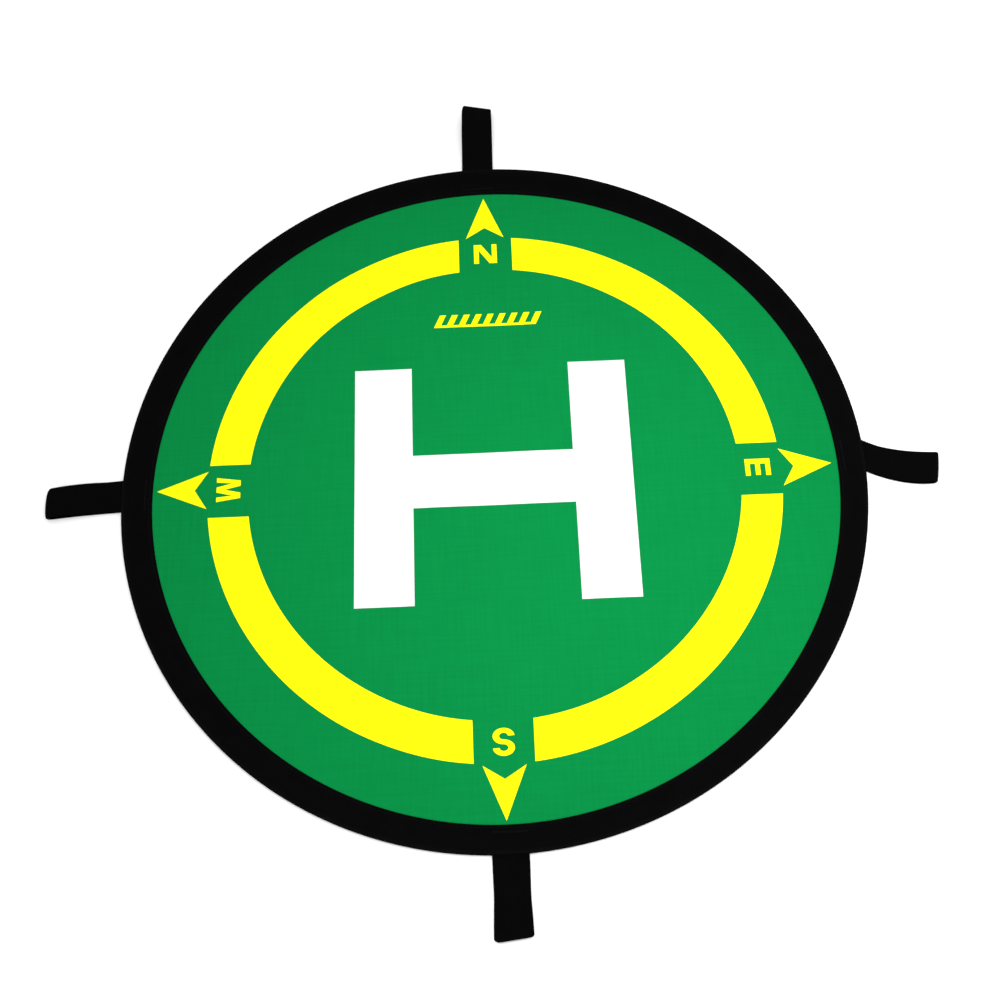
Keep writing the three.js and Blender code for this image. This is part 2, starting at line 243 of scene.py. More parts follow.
class StageSettings(bpy.types.PropertyGroup):
    """Floor, lights and camera."""

    azimuth: FloatProperty(
        name="Azimuth", description="Where the camera stands, from south", default=math.radians(1.092),
        unit="ROTATION",
    )
    elevation: FloatProperty(
        name="Elevation", description="The camera's height above the horizon", default=math.radians(66.456),
        unit="ROTATION",
    )
    roll: FloatProperty(
        name="Roll", description="How far the camera leans clockwise", default=math.radians(3.452),
        unit="ROTATION",
    )
    distance: length("Distance", "From the camera to its target", 1.03639)
    target: FloatVectorProperty(
        name="Target", description="What the camera looks at", default=(0.00395, -0.01606, 0.0),
        subtype="TRANSLATION", unit="LENGTH", precision=5,
    )
    lens: FloatProperty(
        name="Lens", description="Focal length", default=50.792, subtype="DISTANCE_CAMERA"
    )
    floor: length("Floor", "Side of the square floor", 14.0)
    sky: FloatProperty(name="Sky", description="Strength of the even white light", default=1.25)
    key: FloatProperty(
        name="Key", description="Power of the soft light over the pad", default=1.12, unit="POWER"
    )
    key_size: length("Key size", "Side of the square soft light", 0.5)
    key_spread: FloatProperty(
        name="Key spread", description="How wide the soft light shines", default=math.radians(58),
        unit="ROTATION",
    )
    key_place: FloatVectorProperty(
        name="Key place", description="Where the soft light hangs", default=(0.13, -0.07, 0.9),
        subtype="TRANSLATION", unit="LENGTH", precision=5,
    )
    floor_white: colour("Floor white", "Colour of the floor", (0.82, 0.82, 0.82))


class LandingPadSettings(bpy.types.PropertyGroup):
    """All sizes and colours of the landing pad."""

    cloth: PointerProperty(type=ClothSettings)
    ink: PointerProperty(type=PrintSettings)
    rim: PointerProperty(type=RimSettings)
    webbing: PointerProperty(type=WebbingSettings)
    stage: PointerProperty(type=StageSettings)


# ---- Shapes as arrays ----


def smooth_step(value):
    """0 below 0, 1 above 1, and 3 t^2 - 2 t^3 in between."""
    t = np.clip(value, 0, 1)
    return t * t * (3 - 2 * t)


def grid_corners(rows, columns, round_columns=False):
    """Quads of a grid of rows x columns points, as point numbers and as numbers in the grid of its pattern.

    With round_columns the last column joins the first, and the pattern has one column more."""
    wide = columns + round_columns
    row, column = np.meshgrid(np.arange(rows - 1), np.arange(wide - 1), indexing="ij")
    row = row[..., None] + np.array([0, 1, 1, 0])
    column = column[..., None] + np.array([0, 0, 1, 1])
    return (row * columns + column % columns).reshape(-1, 4), (row * wide + column).reshape(-1, 4)


def signed_volume(points, patches):
    """Volume inside the faces: the sum of a . (b x c) / 6 over each face's fan of triangles."""
    total = 0.0
    for corners, _ in patches:
        first, rest = points[corners[:, 0]], points[corners[:, 1:]]
        crossed = np.cross(rest[:, :-1], rest[:, 1:])
        total += np.einsum("ik,ijk->", first, crossed) / 6
    return total


def add_piece(name, points, patches, material, slot):
    """Makes a mesh object at the origin from an (n, 3) array of points in metres.

    A patch is an (m, k) array of point numbers and an (m, k, 2) array of UV in metres. All patches together
    close a shell, and where its volume comes out negative every face is turned round."""
    if signed_volume(points, patches) < 0:
        patches = [(corners[:, ::-1], pattern[:, ::-1]) for corners, pattern in patches]
    corners = np.concatenate([corners.ravel() for corners, _ in patches])
    sizes = np.concatenate([np.full(len(corners), corners.shape[1]) for corners, _ in patches])
    mesh = bpy.data.meshes.new(name)
    mesh.vertices.add(len(points))
    mesh.vertices.foreach_set("co", points.astype(np.float32).ravel())
    mesh.loops.add(len(corners))
    mesh.loops.foreach_set("vertex_index", corners.astype(np.int32))
    mesh.polygons.add(len(sizes))
    mesh.polygons.foreach_set("loop_start", (np.cumsum(sizes) - sizes).astype(np.int32))
    pattern = np.concatenate([pattern.reshape(-1, 2) for _, pattern in patches])
    mesh.uv_layers.new(name=CUT).data.foreach_set("uv", pattern.astype(np.float32).ravel())
    mesh.update(calc_edges=True)
    mesh.shade_smooth()
    mesh.set_sharp_from_angle(angle=math.radians(50))
    mesh.materials.append(material)
    piece = bpy.data.objects.new(name, mesh)
    bpy.context.scene.collection.objects.link(piece)
    return piece


def film(plan, corners, height, thickness):
    """Points and patches of a thin closed sheet over a plan.

    Upper points are the plan's with their height, lower points are thickness below them, and each plan edge
    that only one face has gets a wall down to its lower copy."""
    count = len(plan)
    ahead = np.roll(corners, -1, axis=1)
    shoelace = plan[corners, 0] * plan[ahead, 1] - plan[ahead, 0] * plan[corners, 1]
    corners = np.where(shoelace.sum(1)[:, None] < 0, corners[:, ::-1], corners)
    start, end = corners.ravel(), np.roll(corners, -1, axis=1).ravel()
    keys = np.minimum(start, end) * count + np.maximum(start, end)
    _, which, uses = np.unique(keys, return_inverse=True, return_counts=True)
    rim = uses[which.ravel()] == 1
    start, end = start[rim], end[rim]
    walls = np.stack([start, start + count, end + count, end], axis=1)
    upper = np.column_stack([plan, height])
    points = np.concatenate([upper, upper - [0, 0, thickness]])
    faces = (corners, corners[:, ::-1] + count, walls)
    return points, [(face, plan[face % count]) for face in faces]


def swept(points, pattern, closed_ends=True):
    """Patches of a closed section carried along a path.

    points is a (rows, columns, 3) array and pattern a (rows, columns + 1, 2) array, whose last column is the
    first one again, a whole section further on. Each end is closed by one face."""
    rows, columns = points.shape[:2]
    corners, cut = grid_corners(rows, columns, round_columns=True)
    patches = [(corners, pattern.reshape(-1, 2)[cut])]
    if closed_ends:
        first = np.arange(columns)[None, ::-1]
        last = np.arange(columns)[None] + (rows - 1) * columns
        patches += [(first, pattern[0, first]), (last, pattern[-1, np.arange(columns)][None])]
    return points.reshape(-1, 3), patches


def joined(shells):
    """Several shells, each points and patches, as one."""
    offsets = np.cumsum([0] + [len(points) for points, _ in shells])
    patches = [
        (corners + offset, pattern)
        for (_, shell_patches), offset in zip(shells, offsets)
        for corners, pattern in shell_patches
    ]
    return np.concatenate([points for points, _ in shells]), patches


def path_lengths(path):
    """Length along a path of points, from 0."""
    steps = np.linalg.norm(np.diff(path, axis=0), axis=1)
    return np.concatenate([[0], np.cumsum(steps)])


def girth(section):
    """Length round a closed section, from its first point back to it."""
    return path_lengths(np.concatenate([section, section[:1]]))


def cut_pattern(along, across_it):
    """The UV of a grid: how far each row lies along the piece, and each column round or across it."""
    return np.stack(np.broadcast_arrays(along, across_it), axis=-1)


def tube(path, up, radius, sides=6):
    """A round tube: path + radius * (cos t * side + sin t * over).

    side is tangent x up, and over is side x tangent."""
    tangent = np.gradient(path, axis=0)
    tangent /= np.linalg.norm(tangent, axis=1)[:, None]
    side = np.cross(tangent, up)
    side /= np.linalg.norm(side, axis=1)[:, None]
    over = np.cross(side, tangent)
    turn = np.linspace(0, 2 * np.pi, sides, endpoint=False)
    ring = np.cos(turn)[:, None] * side[:, None] + np.sin(turn)[:, None] * over[:, None]
    points = path[:, None] + radius * ring
    around = np.linspace(0, 2 * np.pi * radius, sides + 1)
    return swept(points, cut_pattern(path_lengths(path)[:, None], around))


def inside(points, outline):
    """Even-odd test: True where a line towards +X crosses the closed outline an odd number of times."""
    x, y = points[:, :1], points[:, 1:]
    start, end = outline, np.roll(outline, -1, axis=0)
    straddles = (start[:, 1] > y) != (end[:, 1] > y)
    rise = np.where(start[:, 1] == end[:, 1], 1.0, end[:, 1] - start[:, 1])
    crossing = start[:, 0] + (y - start[:, 1]) * (end[:, 0] - start[:, 0]) / rise
    return (straddles & (x < crossing)).sum(1) % 2 == 1


def stations_along(outline, spacing):
    """The corners of a closed outline with evenly spaced points between them, none crowding a corner."""
    closed = np.concatenate([outline, outline[:1]])
    corners = path_lengths(closed)
    even = np.arange(0, corners[-1], spacing)
    clear = np.abs(even[:, None] - corners).min(1) > 0.3 * spacing
    stations = np.unique(np.concatenate([corners[:-1], even[clear]]))
    return np.column_stack([np.interp(stations, corners, closed[:, axis]) for axis in (0, 1)])


def filled(outline, spacing, side=0):
    """Plan points and triangles that fill an outline: a Delaunay triangulation of its edge and a lattice.

    With side -1 or 1 only the part on that side of the fold line is kept, divided exactly on the line."""
    edge = stations_along(outline, spacing)
    low, high = outline.min(0), outline.max(0)
    ticks = (np.arange(a, b, spacing) for a, b in zip(low, high))
    lattice = np.stack(np.meshgrid(*ticks), -1).reshape(-1, 2)
    room = np.linalg.norm(lattice[:, None] - edge, axis=2).min(1) > 0.6 * spacing
    if side:
        room &= np.abs(across(*lattice.T)) > 0.5 * spacing
    lattice = lattice[room & inside(lattice, outline)]
    count = len(edge)
    edges = np.column_stack([np.arange(count), (np.arange(count) + 1) % count])
    points = np.concatenate([edge, lattice])
    if side:
        along = np.arange(min(low), max(high), spacing)
        fold = np.column_stack([along, along])
        numbers = np.arange(len(points), len(points) + len(fold))
        edges = np.concatenate([edges, np.column_stack([numbers[:-1], numbers[1:]])])
        points = np.concatenate([points, fold])
    made = delaunay_2d_cdt([Vector(p) for p in points], edges.tolist(), [], 0, 1e-7)
    plan, triangles = np.array([tuple(v) for v in made[0]]), np.array(made[2])
    middle = plan[triangles].mean(1)
    kept = inside(middle, outline)
    if side:
        kept &= across(*middle.T) * side > 0
    used, corners = np.unique(triangles[kept], return_inverse=True)
    return plan[used], corners.reshape(-1, 3)


# ---- The fold ----


def across(x, y):
    """Distance across the fold line, (x - y) / root 2: negative in the north-west half."""
    return (x - y) / math.sqrt(2)


def bend_over_fold(piece, half):
    """Bakes the piece's place into its mesh. The joint of the fold beside the half is looked up, but nothing
    bends the piece."""
    joint = Vector(JOINTS["fold_" + half]["pos_m"])
    joint.z = 0
    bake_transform(piece)


def stands_for_half(node, half, spine_parts=("spine",)):
    """The north-west piece stands for the spine's nodes too, because it holds half of the spine."""
    spine = [f"{node}_{part}" for part in spine_parts] if half == "nw" else []
    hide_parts(f"{node}_{half}", *spine)


# ---- Materials ----


def printed_cloth_material(name, dye, roughness, weave, cloud):
    """Plain-woven polyester that dye or ink has soaked into.

    weave is the height of its yarns in metres, and cloud how much the shade wanders."""
    pitch = 0.00046  # one yarn
    material = bpy.data.materials.new(name)
    material.use_nodes = True
    nodes, links = material.node_tree.nodes, material.node_tree.links
    nodes.clear()

    cut = nodes.new("ShaderNodeUVMap")
    cut.label = "Cut of the cloth"
    warp = nodes.new("ShaderNodeTexWave")
    warp.label = "Warp yarns"
    weft = nodes.new("ShaderNodeTexWave")
    weft.label = "Weft yarns"
    over = nodes.new("ShaderNodeTexChecker")
    over.label = "Which yarn lies over"
    yarn = nodes.new("ShaderNodeMix")
    yarn.label = "Height of the weave"
    weft_stretch = nodes.new("ShaderNodeMapping")
    weft_stretch.label = "Streaks along the weft"
    warp_stretch = nodes.new("ShaderNodeMapping")
    warp_stretch.label = "Streaks along the warp"
    weft_slub = nodes.new("ShaderNodeTexNoise")
    weft_slub.label = "Uneven weft yarns"
    warp_slub = nodes.new("ShaderNodeTexNoise")
    warp_slub.label = "Uneven warp yarns"
    blotch = nodes.new("ShaderNodeTexNoise")
    blotch.label = "Cloudy dye"
    blotch_shade = nodes.new("ShaderNodeMath")
    blotch_shade.label = "Shade of the clouds"
    weft_shade = nodes.new("ShaderNodeMath")
    weft_shade.label = "and of the weft"
    warp_shade = nodes.new("ShaderNodeMath")
    warp_shade.label = "and of the warp"
    # Painted shade: the colour is darkened in the gaps between the yarns, following the weave's relief.
    painted_gap_shade = nodes.new("ShaderNodeMath")
    painted_gap_shade.label = "and painted shade in the gaps"
    shade = nodes.new("ShaderNodeHueSaturation")
    shade.label = "Shaded dye"
    dullness = nodes.new("ShaderNodeMath")
    dullness.label = "Yarn tops shine more"
    relief = nodes.new("ShaderNodeBump")
    relief.label = "Relief of the weave"
    surface = nodes.new("ShaderNodeBsdfPrincipled")
    surface.label = "Cloth"
    output = nodes.new("ShaderNodeOutputMaterial")
    output.label = "Output"

    weave_frame = nodes.new("NodeFrame")
    weave_frame.label = "Plain weave"
    for node in (warp, weft, over, yarn):
        node.parent = weave_frame
    shade_frame = nodes.new("NodeFrame")
    shade_frame.label = "Uneven dye and painted weave shade"
    for node in (weft_stretch, warp_stretch, weft_slub, warp_slub, blotch,
                 blotch_shade, weft_shade, warp_shade, painted_gap_shade, shade):
        node.parent = shade_frame
    finish_frame = nodes.new("NodeFrame")
    finish_frame.label = "Finish"
    for node in (dullness, relief, surface):
        node.parent = finish_frame
    for node, place in (
        (cut, (-1700, 0)), (warp, (-1400, -500)), (weft, (-1400, -800)), (over, (-1400, -1100)),
        (yarn, (-1150, -700)), (weft_stretch, (-1450, 500)), (warp_stretch, (-1450, 100)),
        (weft_slub, (-1250, 500)), (warp_slub, (-1250, 100)), (blotch, (-1250, 850)),
        (blotch_shade, (-1000, 700)), (weft_shade, (-800, 600)), (warp_shade, (-600, 500)),
        (painted_gap_shade, (-400, 400)), (shade, (-200, 350)), (dullness, (-400, -200)),
        (relief, (-400, -500)), (surface, (50, 100)), (output, (350, 100)),
    ):
        node.location = place

    cut.uv_map = CUT
    warp.bands_direction = "X"
    weft.bands_direction = "Y"
    wave_scale = math.pi / (10 * pitch)  # a wave texture's bands are pi / (10 * scale) apart
    warp.inputs["Scale"].default_value = wave_scale
    weft.inputs["Scale"].default_value = wave_scale
    over.inputs["Scale"].default_value = 1 / pitch
    weft_stretch.inputs["Scale"].default_value = (22, 520, 1)
    warp_stretch.inputs["Scale"].default_value = (520, 22, 1)
    weft_slub.inputs["Scale"].default_value = 1.0
    warp_slub.inputs["Scale"].default_value = 1.0
    blotch.inputs["Scale"].default_value = 26.0
    blotch.inputs["Detail"].default_value = 5.0
    blotch.inputs["Roughness"].default_value = 0.62
    slub, gap = 0.16, 0.12  # how much the yarns show, and how much painted shade darkens the gaps between them
    for node, share in ((blotch_shade, cloud), (weft_shade, slub), (warp_shade, slub), (painted_gap_shade, gap)):
        node.operation = "MULTIPLY_ADD"
        node.inputs[1].default_value = share
    blotch_shade.inputs[2].default_value = 1 - (cloud + 2 * slub + gap) / 2
    shade.inputs["Color"].default_value = (*dye, 1)
    dullness.operation = "MULTIPLY_ADD"
    dullness.inputs[1].default_value = -0.14
    dullness.inputs[2].default_value = roughness + 0.07
    relief.inputs["Distance"].default_value = weave
    relief.inputs["Strength"].default_value = 0.8
    surface.inputs["Specular IOR Level"].default_value = 0.02

    links.new(cut.outputs["UV"], warp.inputs["Vector"])
    links.new(cut.outputs["UV"], weft.inputs["Vector"])
    links.new(cut.outputs["UV"], over.inputs["Vector"])
    links.new(over.outputs["Fac"], yarn.inputs["Factor"])
    links.new(warp.outputs["Fac"], yarn.inputs["A"])
    links.new(weft.outputs["Fac"], yarn.inputs["B"])
    links.new(cut.outputs["UV"], weft_stretch.inputs["Vector"])
    links.new(cut.outputs["UV"], warp_stretch.inputs["Vector"])
    links.new(cut.outputs["UV"], blotch.inputs["Vector"])
    links.new(weft_stretch.outputs["Vector"], weft_slub.inputs["Vector"])
    links.new(warp_stretch.outputs["Vector"], warp_slub.inputs["Vector"])
    links.new(blotch.outputs["Fac"], blotch_shade.inputs[0])
    links.new(weft_slub.outputs["Fac"], weft_shade.inputs[0])
    links.new(blotch_shade.outputs["Value"], weft_shade.inputs[2])
    links.new(warp_slub.outputs["Fac"], warp_shade.inputs[0])
    links.new(weft_shade.outputs["Value"], warp_shade.inputs[2])
    links.new(yarn.outputs["Result"], painted_gap_shade.inputs[0])
    links.new(warp_shade.outputs["Value"], painted_gap_shade.inputs[2])
    links.new(painted_gap_shade.outputs["Value"], shade.inputs["Value"])
    links.new(shade.outputs["Color"], surface.inputs["Base Color"])
    links.new(yarn.outputs["Result"], dullness.inputs[0])
    links.new(dullness.outputs["Value"], surface.inputs["Roughness"])
    links.new(yarn.outputs["Result"], relief.inputs["Height"])
    links.new(relief.outputs["Normal"], surface.inputs["Normal"])
    links.new(surface.outputs["BSDF"], output.inputs["Surface"])
    return material


def ribbed_tape_material(name, dye, rib, chevron, relief_height, fold_highlight_line=None):
    """Black woven tape or webbing with ribs across it.

    rib is the pitch of the ribs in metres, chevron how far they slope for each metre across (0 for straight
    ribs), and the last argument the place across the tape, in metres, from where a patchy painted highlight
    lightens the tape, standing in for light caught on its folded edge. The ribs carry painted shade in their
    grooves and a painted highlight on their crests."""
    material = bpy.data.materials.new(name)
    material.use_nodes = True
    nodes, links = material.node_tree.nodes, material.node_tree.links
    nodes.clear()

    cut = nodes.new("ShaderNodeUVMap")
    cut.label = "Along and across the tape"
    split = nodes.new("ShaderNodeSeparateXYZ")
    split.label = "Along, across"
    zigzag = nodes.new("ShaderNodeMath")
    zigzag.label = "Herringbone rows"
    sloped = nodes.new("ShaderNodeMath")
    sloped.label = "Sloping ribs"
    phase = nodes.new("ShaderNodeMath")
    phase.label = "Rib pitch"
    ribs = nodes.new("ShaderNodeMath")
    ribs.label = "Ribs"
    fuzz = nodes.new("ShaderNodeTexNoise")
    fuzz.label = "Loose fibres"
    relief_sum = nodes.new("ShaderNodeMath")
    relief_sum.label = "Ribs and fibres"
    relief = nodes.new("ShaderNodeBump")
    relief.label = "Relief of the ribs"
    blotch = nodes.new("ShaderNodeTexNoise")
    blotch.label = "Faded dye"
    fade = nodes.new("ShaderNodeMath")
    fade.label = "Shade of the fading"
    # Painted shade in the grooves between the ribs and painted highlight on their crests, following the ribs'
    # relief.
    rib_painted_shade = nodes.new("ShaderNodeMath")
    rib_painted_shade.label = "and painted shade of the ribs"
    off_fold = nodes.new("ShaderNodeMath")
    off_fold.label = "Distance from the highlighted fold"
    # Painted highlight: from the top of the bead outwards the tape is lightened in patches, standing in for
    # light caught on its folded edge.
    fold_highlight_step = nodes.new("ShaderNodeMapRange")
    fold_highlight_step.label = "Painted highlight from the fold"
    patchy_fold_highlight = nodes.new("ShaderNodeMath")
    patchy_fold_highlight.label = "Patchy painted highlight"
    fold_highlight_shade = nodes.new("ShaderNodeMath")
    fold_highlight_shade.label = "and of the painted highlight"
    shade = nodes.new("ShaderNodeHueSaturation")
    shade.label = "Shaded dye"
    surface = nodes.new("ShaderNodeBsdfPrincipled")
    surface.label = "Woven tape"
    output = nodes.new("ShaderNodeOutputMaterial")
    output.label = "Output"

    weave_frame = nodes.new("NodeFrame")
    weave_frame.label = "Ribs"
    for node in (split, zigzag, sloped, phase, ribs, fuzz, relief_sum, relief):
        node.parent = weave_frame
    shade_frame = nodes.new("NodeFrame")
    shade_frame.label = "Fading and painted light"
    for node in (blotch, fade, rib_painted_shade, off_fold, fold_highlight_step, patchy_fold_highlight, fold_highlight_shade, shade):
        node.parent = shade_frame
    for node, place in (
        (cut, (-1900, 0)), (split, (-1700, -200)), (zigzag, (-1500, -350)), (sloped, (-1300, -250)),
        (phase, (-1100, -250)), (ribs, (-900, -250)), (fuzz, (-900, -500)), (relief_sum, (-650, -350)),
        (relief, (-400, -350)), (blotch, (-1300, 500)), (fade, (-1050, 450)), (rib_painted_shade, (-800, 350)),
        (off_fold, (-1500, 100)), (fold_highlight_step, (-1300, 150)), (patchy_fold_highlight, (-1050, 150)),
        (fold_highlight_shade, (-600, 250)), (shade, (-400, 200)), (surface, (-100, 0)), (output, (200, 0)),
    ):
        node.location = place

    cut.uv_map = CUT
    zigzag.operation = "PINGPONG"
    zigzag.inputs[1].default_value = 0.0025  # width of one herringbone row
    sloped.operation = "MULTIPLY_ADD"
    sloped.inputs[1].default_value = chevron
    phase.operation = "MULTIPLY"
    phase.inputs[1].default_value = 2 * math.pi / rib
    ribs.operation = "SINE"
    fuzz.inputs["Scale"].default_value = 2600.0
    fuzz.inputs["Detail"].default_value = 2.0
    relief_sum.operation = "MULTIPLY_ADD"
    relief_sum.inputs[1].default_value = 0.7
    relief.inputs["Distance"].default_value = relief_height
    relief.inputs["Strength"].default_value = 0.9
    blotch.inputs["Scale"].default_value = 60.0
    blotch.inputs["Detail"].default_value = 6.0
    fade.operation = "MULTIPLY_ADD"
    fade.inputs[1].default_value = 0.7
    fade.inputs[2].default_value = 0.65
    rib_painted_shade.operation = "MULTIPLY_ADD"
    rib_painted_shade.inputs[1].default_value = 0.25
    off_fold.operation = "SUBTRACT"
    off_fold.inputs[1].default_value = fold_highlight_line or 0.0
    fold_highlight_step.interpolation_type = "SMOOTHSTEP"
    fold_highlight_step.inputs["From Min"].default_value = -0.0016
    fold_highlight_step.inputs["From Max"].default_value = 0.0
    patchy_fold_highlight.operation = "MULTIPLY"
    fold_highlight_shade.operation = "MULTIPLY_ADD"
    fold_highlight_shade.inputs[1].default_value = 0.9 if fold_highlight_line else 0.0
    shade.inputs["Color"].default_value = (*dye, 1)
    surface.inputs["Roughness"].default_value = 0.92
    surface.inputs["Specular IOR Level"].default_value = 0.012
    surface.inputs["Sheen Weight"].default_value = 0.002
    surface.inputs["Sheen Roughness"].default_value = 0.6

    links.new(cut.outputs["UV"], split.inputs["Vector"])
    links.new(split.outputs["Y"], zigzag.inputs[0])
    links.new(zigzag.outputs["Value"], sloped.inputs[0])
    links.new(split.outputs["X"], sloped.inputs[2])
    links.new(sloped.outputs["Value"], phase.inputs[0])
    links.new(phase.outputs["Value"], ribs.inputs[0])
    links.new(cut.outputs["UV"], fuzz.inputs["Vector"])
    links.new(fuzz.outputs["Fac"], relief_sum.inputs[0])
    links.new(ribs.outputs["Value"], relief_sum.inputs[2])
    links.new(relief_sum.outputs["Value"], relief.inputs["Height"])
    links.new(cut.outputs["UV"], blotch.inputs["Vector"])
    links.new(blotch.outputs["Fac"], fade.inputs[0])
    links.new(ribs.outputs["Value"], rib_painted_shade.inputs[0])
    links.new(fade.outputs["Value"], rib_painted_shade.inputs[2])
    links.new(split.outputs["Y"], off_fold.inputs[0])
    links.new(off_fold.outputs["Value"], fold_highlight_step.inputs["Value"])
    links.new(fold_highlight_step.outputs["Result"], patchy_fold_highlight.inputs[0])
    links.new(blotch.outputs["Fac"], patchy_fold_highlight.inputs[1])
    links.new(patchy_fold_highlight.outputs["Value"], fold_highlight_shade.inputs[0])
    links.new(rib_painted_shade.outputs["Value"], fold_highlight_shade.inputs[2])
    links.new(fold_highlight_shade.outputs["Value"], shade.inputs["Value"])
    links.new(shade.outputs["Color"], surface.inputs["Base Color"])
    links.new(relief.outputs["Normal"], surface.inputs["Normal"])
    links.new(surface.outputs["BSDF"], output.inputs["Surface"])
    return material


def thread_material(name, dye):
    """Twisted polyester thread: sloping plies, read from the place along and round the thread."""
    material = bpy.data.materials.new(name)
    material.use_nodes = True
    nodes, links = material.node_tree.nodes, material.node_tree.links
    nodes.clear()

    cut = nodes.new("ShaderNodeUVMap")
    cut.label = "Along and round the thread"
    lean = nodes.new("ShaderNodeMapping")
    lean.label = "Slope of the twist"
    plies = nodes.new("ShaderNodeTexWave")
    plies.label = "Plies"
    # Painted shade between the plies and painted highlight on their crests, following the plies' relief.
    painted_ply_shade = nodes.new("ShaderNodeMapRange")
    painted_ply_shade.label = "Painted shade between the plies"
    shade = nodes.new("ShaderNodeHueSaturation")
    shade.label = "Shaded dye"
    relief = nodes.new("ShaderNodeBump")
    relief.label = "Relief of the plies"
    surface = nodes.new("ShaderNodeBsdfPrincipled")
    surface.label = "Thread"
    output = nodes.new("ShaderNodeOutputMaterial")
    output.label = "Output"

    twist_frame = nodes.new("NodeFrame")
    twist_frame.label = "Twist"
    for node in (lean, plies, painted_ply_shade, shade, relief):
        node.parent = twist_frame
    for node, place in (
        (cut, (-1100, 0)), (lean, (-900, 0)), (plies, (-700, 0)), (painted_ply_shade, (-450, 150)),
        (shade, (-250, 150)), (relief, (-450, -150)), (surface, (0, 0)), (output, (300, 0)),
    ):
        node.location = place

    cut.uv_map = CUT
    lean.inputs["Rotation"].default_value = (0, 0, math.radians(38))
    ply = 0.0005  # from one ply to the next
    plies.inputs["Scale"].default_value = math.pi / (10 * ply)
    painted_ply_shade.inputs["To Min"].default_value = 0.6
    painted_ply_shade.inputs["To Max"].default_value = 1.25
    shade.inputs["Color"].default_value = (*dye, 1)
    relief.inputs["Distance"].default_value = 0.00006
    surface.inputs["Roughness"].default_value = 0.7
    surface.inputs["Specular IOR Level"].default_value = 0.04

    links.new(cut.outputs["UV"], lean.inputs["Vector"])
    links.new(lean.outputs["Vector"], plies.inputs["Vector"])
    links.new(plies.outputs["Fac"], painted_ply_shade.inputs["Value"])
    links.new(painted_ply_shade.outputs["Result"], shade.inputs["Value"])
    links.new(shade.outputs["Color"], surface.inputs["Base Color"])
    links.new(plies.outputs["Fac"], relief.inputs["Height"])
    links.new(relief.outputs["Normal"], surface.inputs["Normal"])
    links.new(surface.outputs["BSDF"], output.inputs["Surface"])
    return material


def drawn_metal_material(name, tint, roughness):
    """Drawn or plated metal: fine lines along it and a blotchy finish."""
    material = bpy.data.materials.new(name)
    material.use_nodes = True
    nodes, links = material.node_tree.nodes, material.node_tree.links
    nodes.clear()

    place_on = nodes.new("ShaderNodeUVMap")
    place_on.label = "Along and across the metal"
    stretch = nodes.new("ShaderNodeMapping")
    stretch.label = "Draw lines out"
    scratches = nodes.new("ShaderNodeTexNoise")
    scratches.label = "Drawing lines"
    blotch = nodes.new("ShaderNodeTexNoise")
    blotch.label = "Uneven finish"
    tone = nodes.new("ShaderNodeMapRange")
    tone.label = "Tone of the finish"
    shade = nodes.new("ShaderNodeHueSaturation")
    shade.label = "Toned metal"
    gloss = nodes.new("ShaderNodeMapRange")
    gloss.label = "Gloss between the lines"
    relief = nodes.new("ShaderNodeBump")
    relief.label = "Depth of the lines"
    surface = nodes.new("ShaderNodeBsdfPrincipled")
    surface.label = "Metal"
    output = nodes.new("ShaderNodeOutputMaterial")
    output.label = "Output"

    line_frame = nodes.new("NodeFrame")
    line_frame.label = "Drawing lines"
    for node in (stretch, scratches, gloss, relief):
        node.parent = line_frame
    tone_frame = nodes.new("NodeFrame")
    tone_frame.label = "Tone"
    for node in (blotch, tone, shade):
        node.parent = tone_frame
    for node, place in (
        (place_on, (-1100, 0)), (stretch, (-900, -200)), (scratches, (-700, -200)),
        (gloss, (-450, -100)), (relief, (-450, -400)), (blotch, (-700, 200)), (tone, (-450, 250)),
        (shade, (-250, 250)), (surface, (0, 0)), (output, (300, 0)),
    ):
        node.location = place

    place_on.uv_map = CUT
    stretch.inputs["Scale"].default_value = (60, 9000, 1)
    scratches.inputs["Scale"].default_value = 1.0
    blotch.inputs["Scale"].default_value = 240.0
    blotch.inputs["Detail"].default_value = 4.0
    tone.inputs["To Min"].default_value = 0.8
    tone.inputs["To Max"].default_value = 1.15
    shade.inputs["Color"].default_value = (*tint, 1)
    gloss.inputs["To Min"].default_value = roughness - 0.08
    gloss.inputs["To Max"].default_value = roughness + 0.12
    relief.inputs["Distance"].default_value = 0.00002
    surface.inputs["Metallic"].default_value = 1.0

    links.new(place_on.outputs["UV"], stretch.inputs["Vector"])
    links.new(stretch.outputs["Vector"], scratches.inputs["Vector"])
    links.new(place_on.outputs["UV"], blotch.inputs["Vector"])
    links.new(blotch.outputs["Fac"], tone.inputs["Value"])
    links.new(tone.outputs["Result"], shade.inputs["Value"])
    links.new(shade.outputs["Color"], surface.inputs["Base Color"])
    links.new(scratches.outputs["Fac"], gloss.inputs["Value"])
    links.new(gloss.outputs["Result"], surface.inputs["Roughness"])
    links.new(scratches.outputs["Fac"], relief.inputs["Height"])
    links.new(relief.outputs["Normal"], surface.inputs["Normal"])
    links.new(surface.outputs["BSDF"], output.inputs["Surface"])
    return material


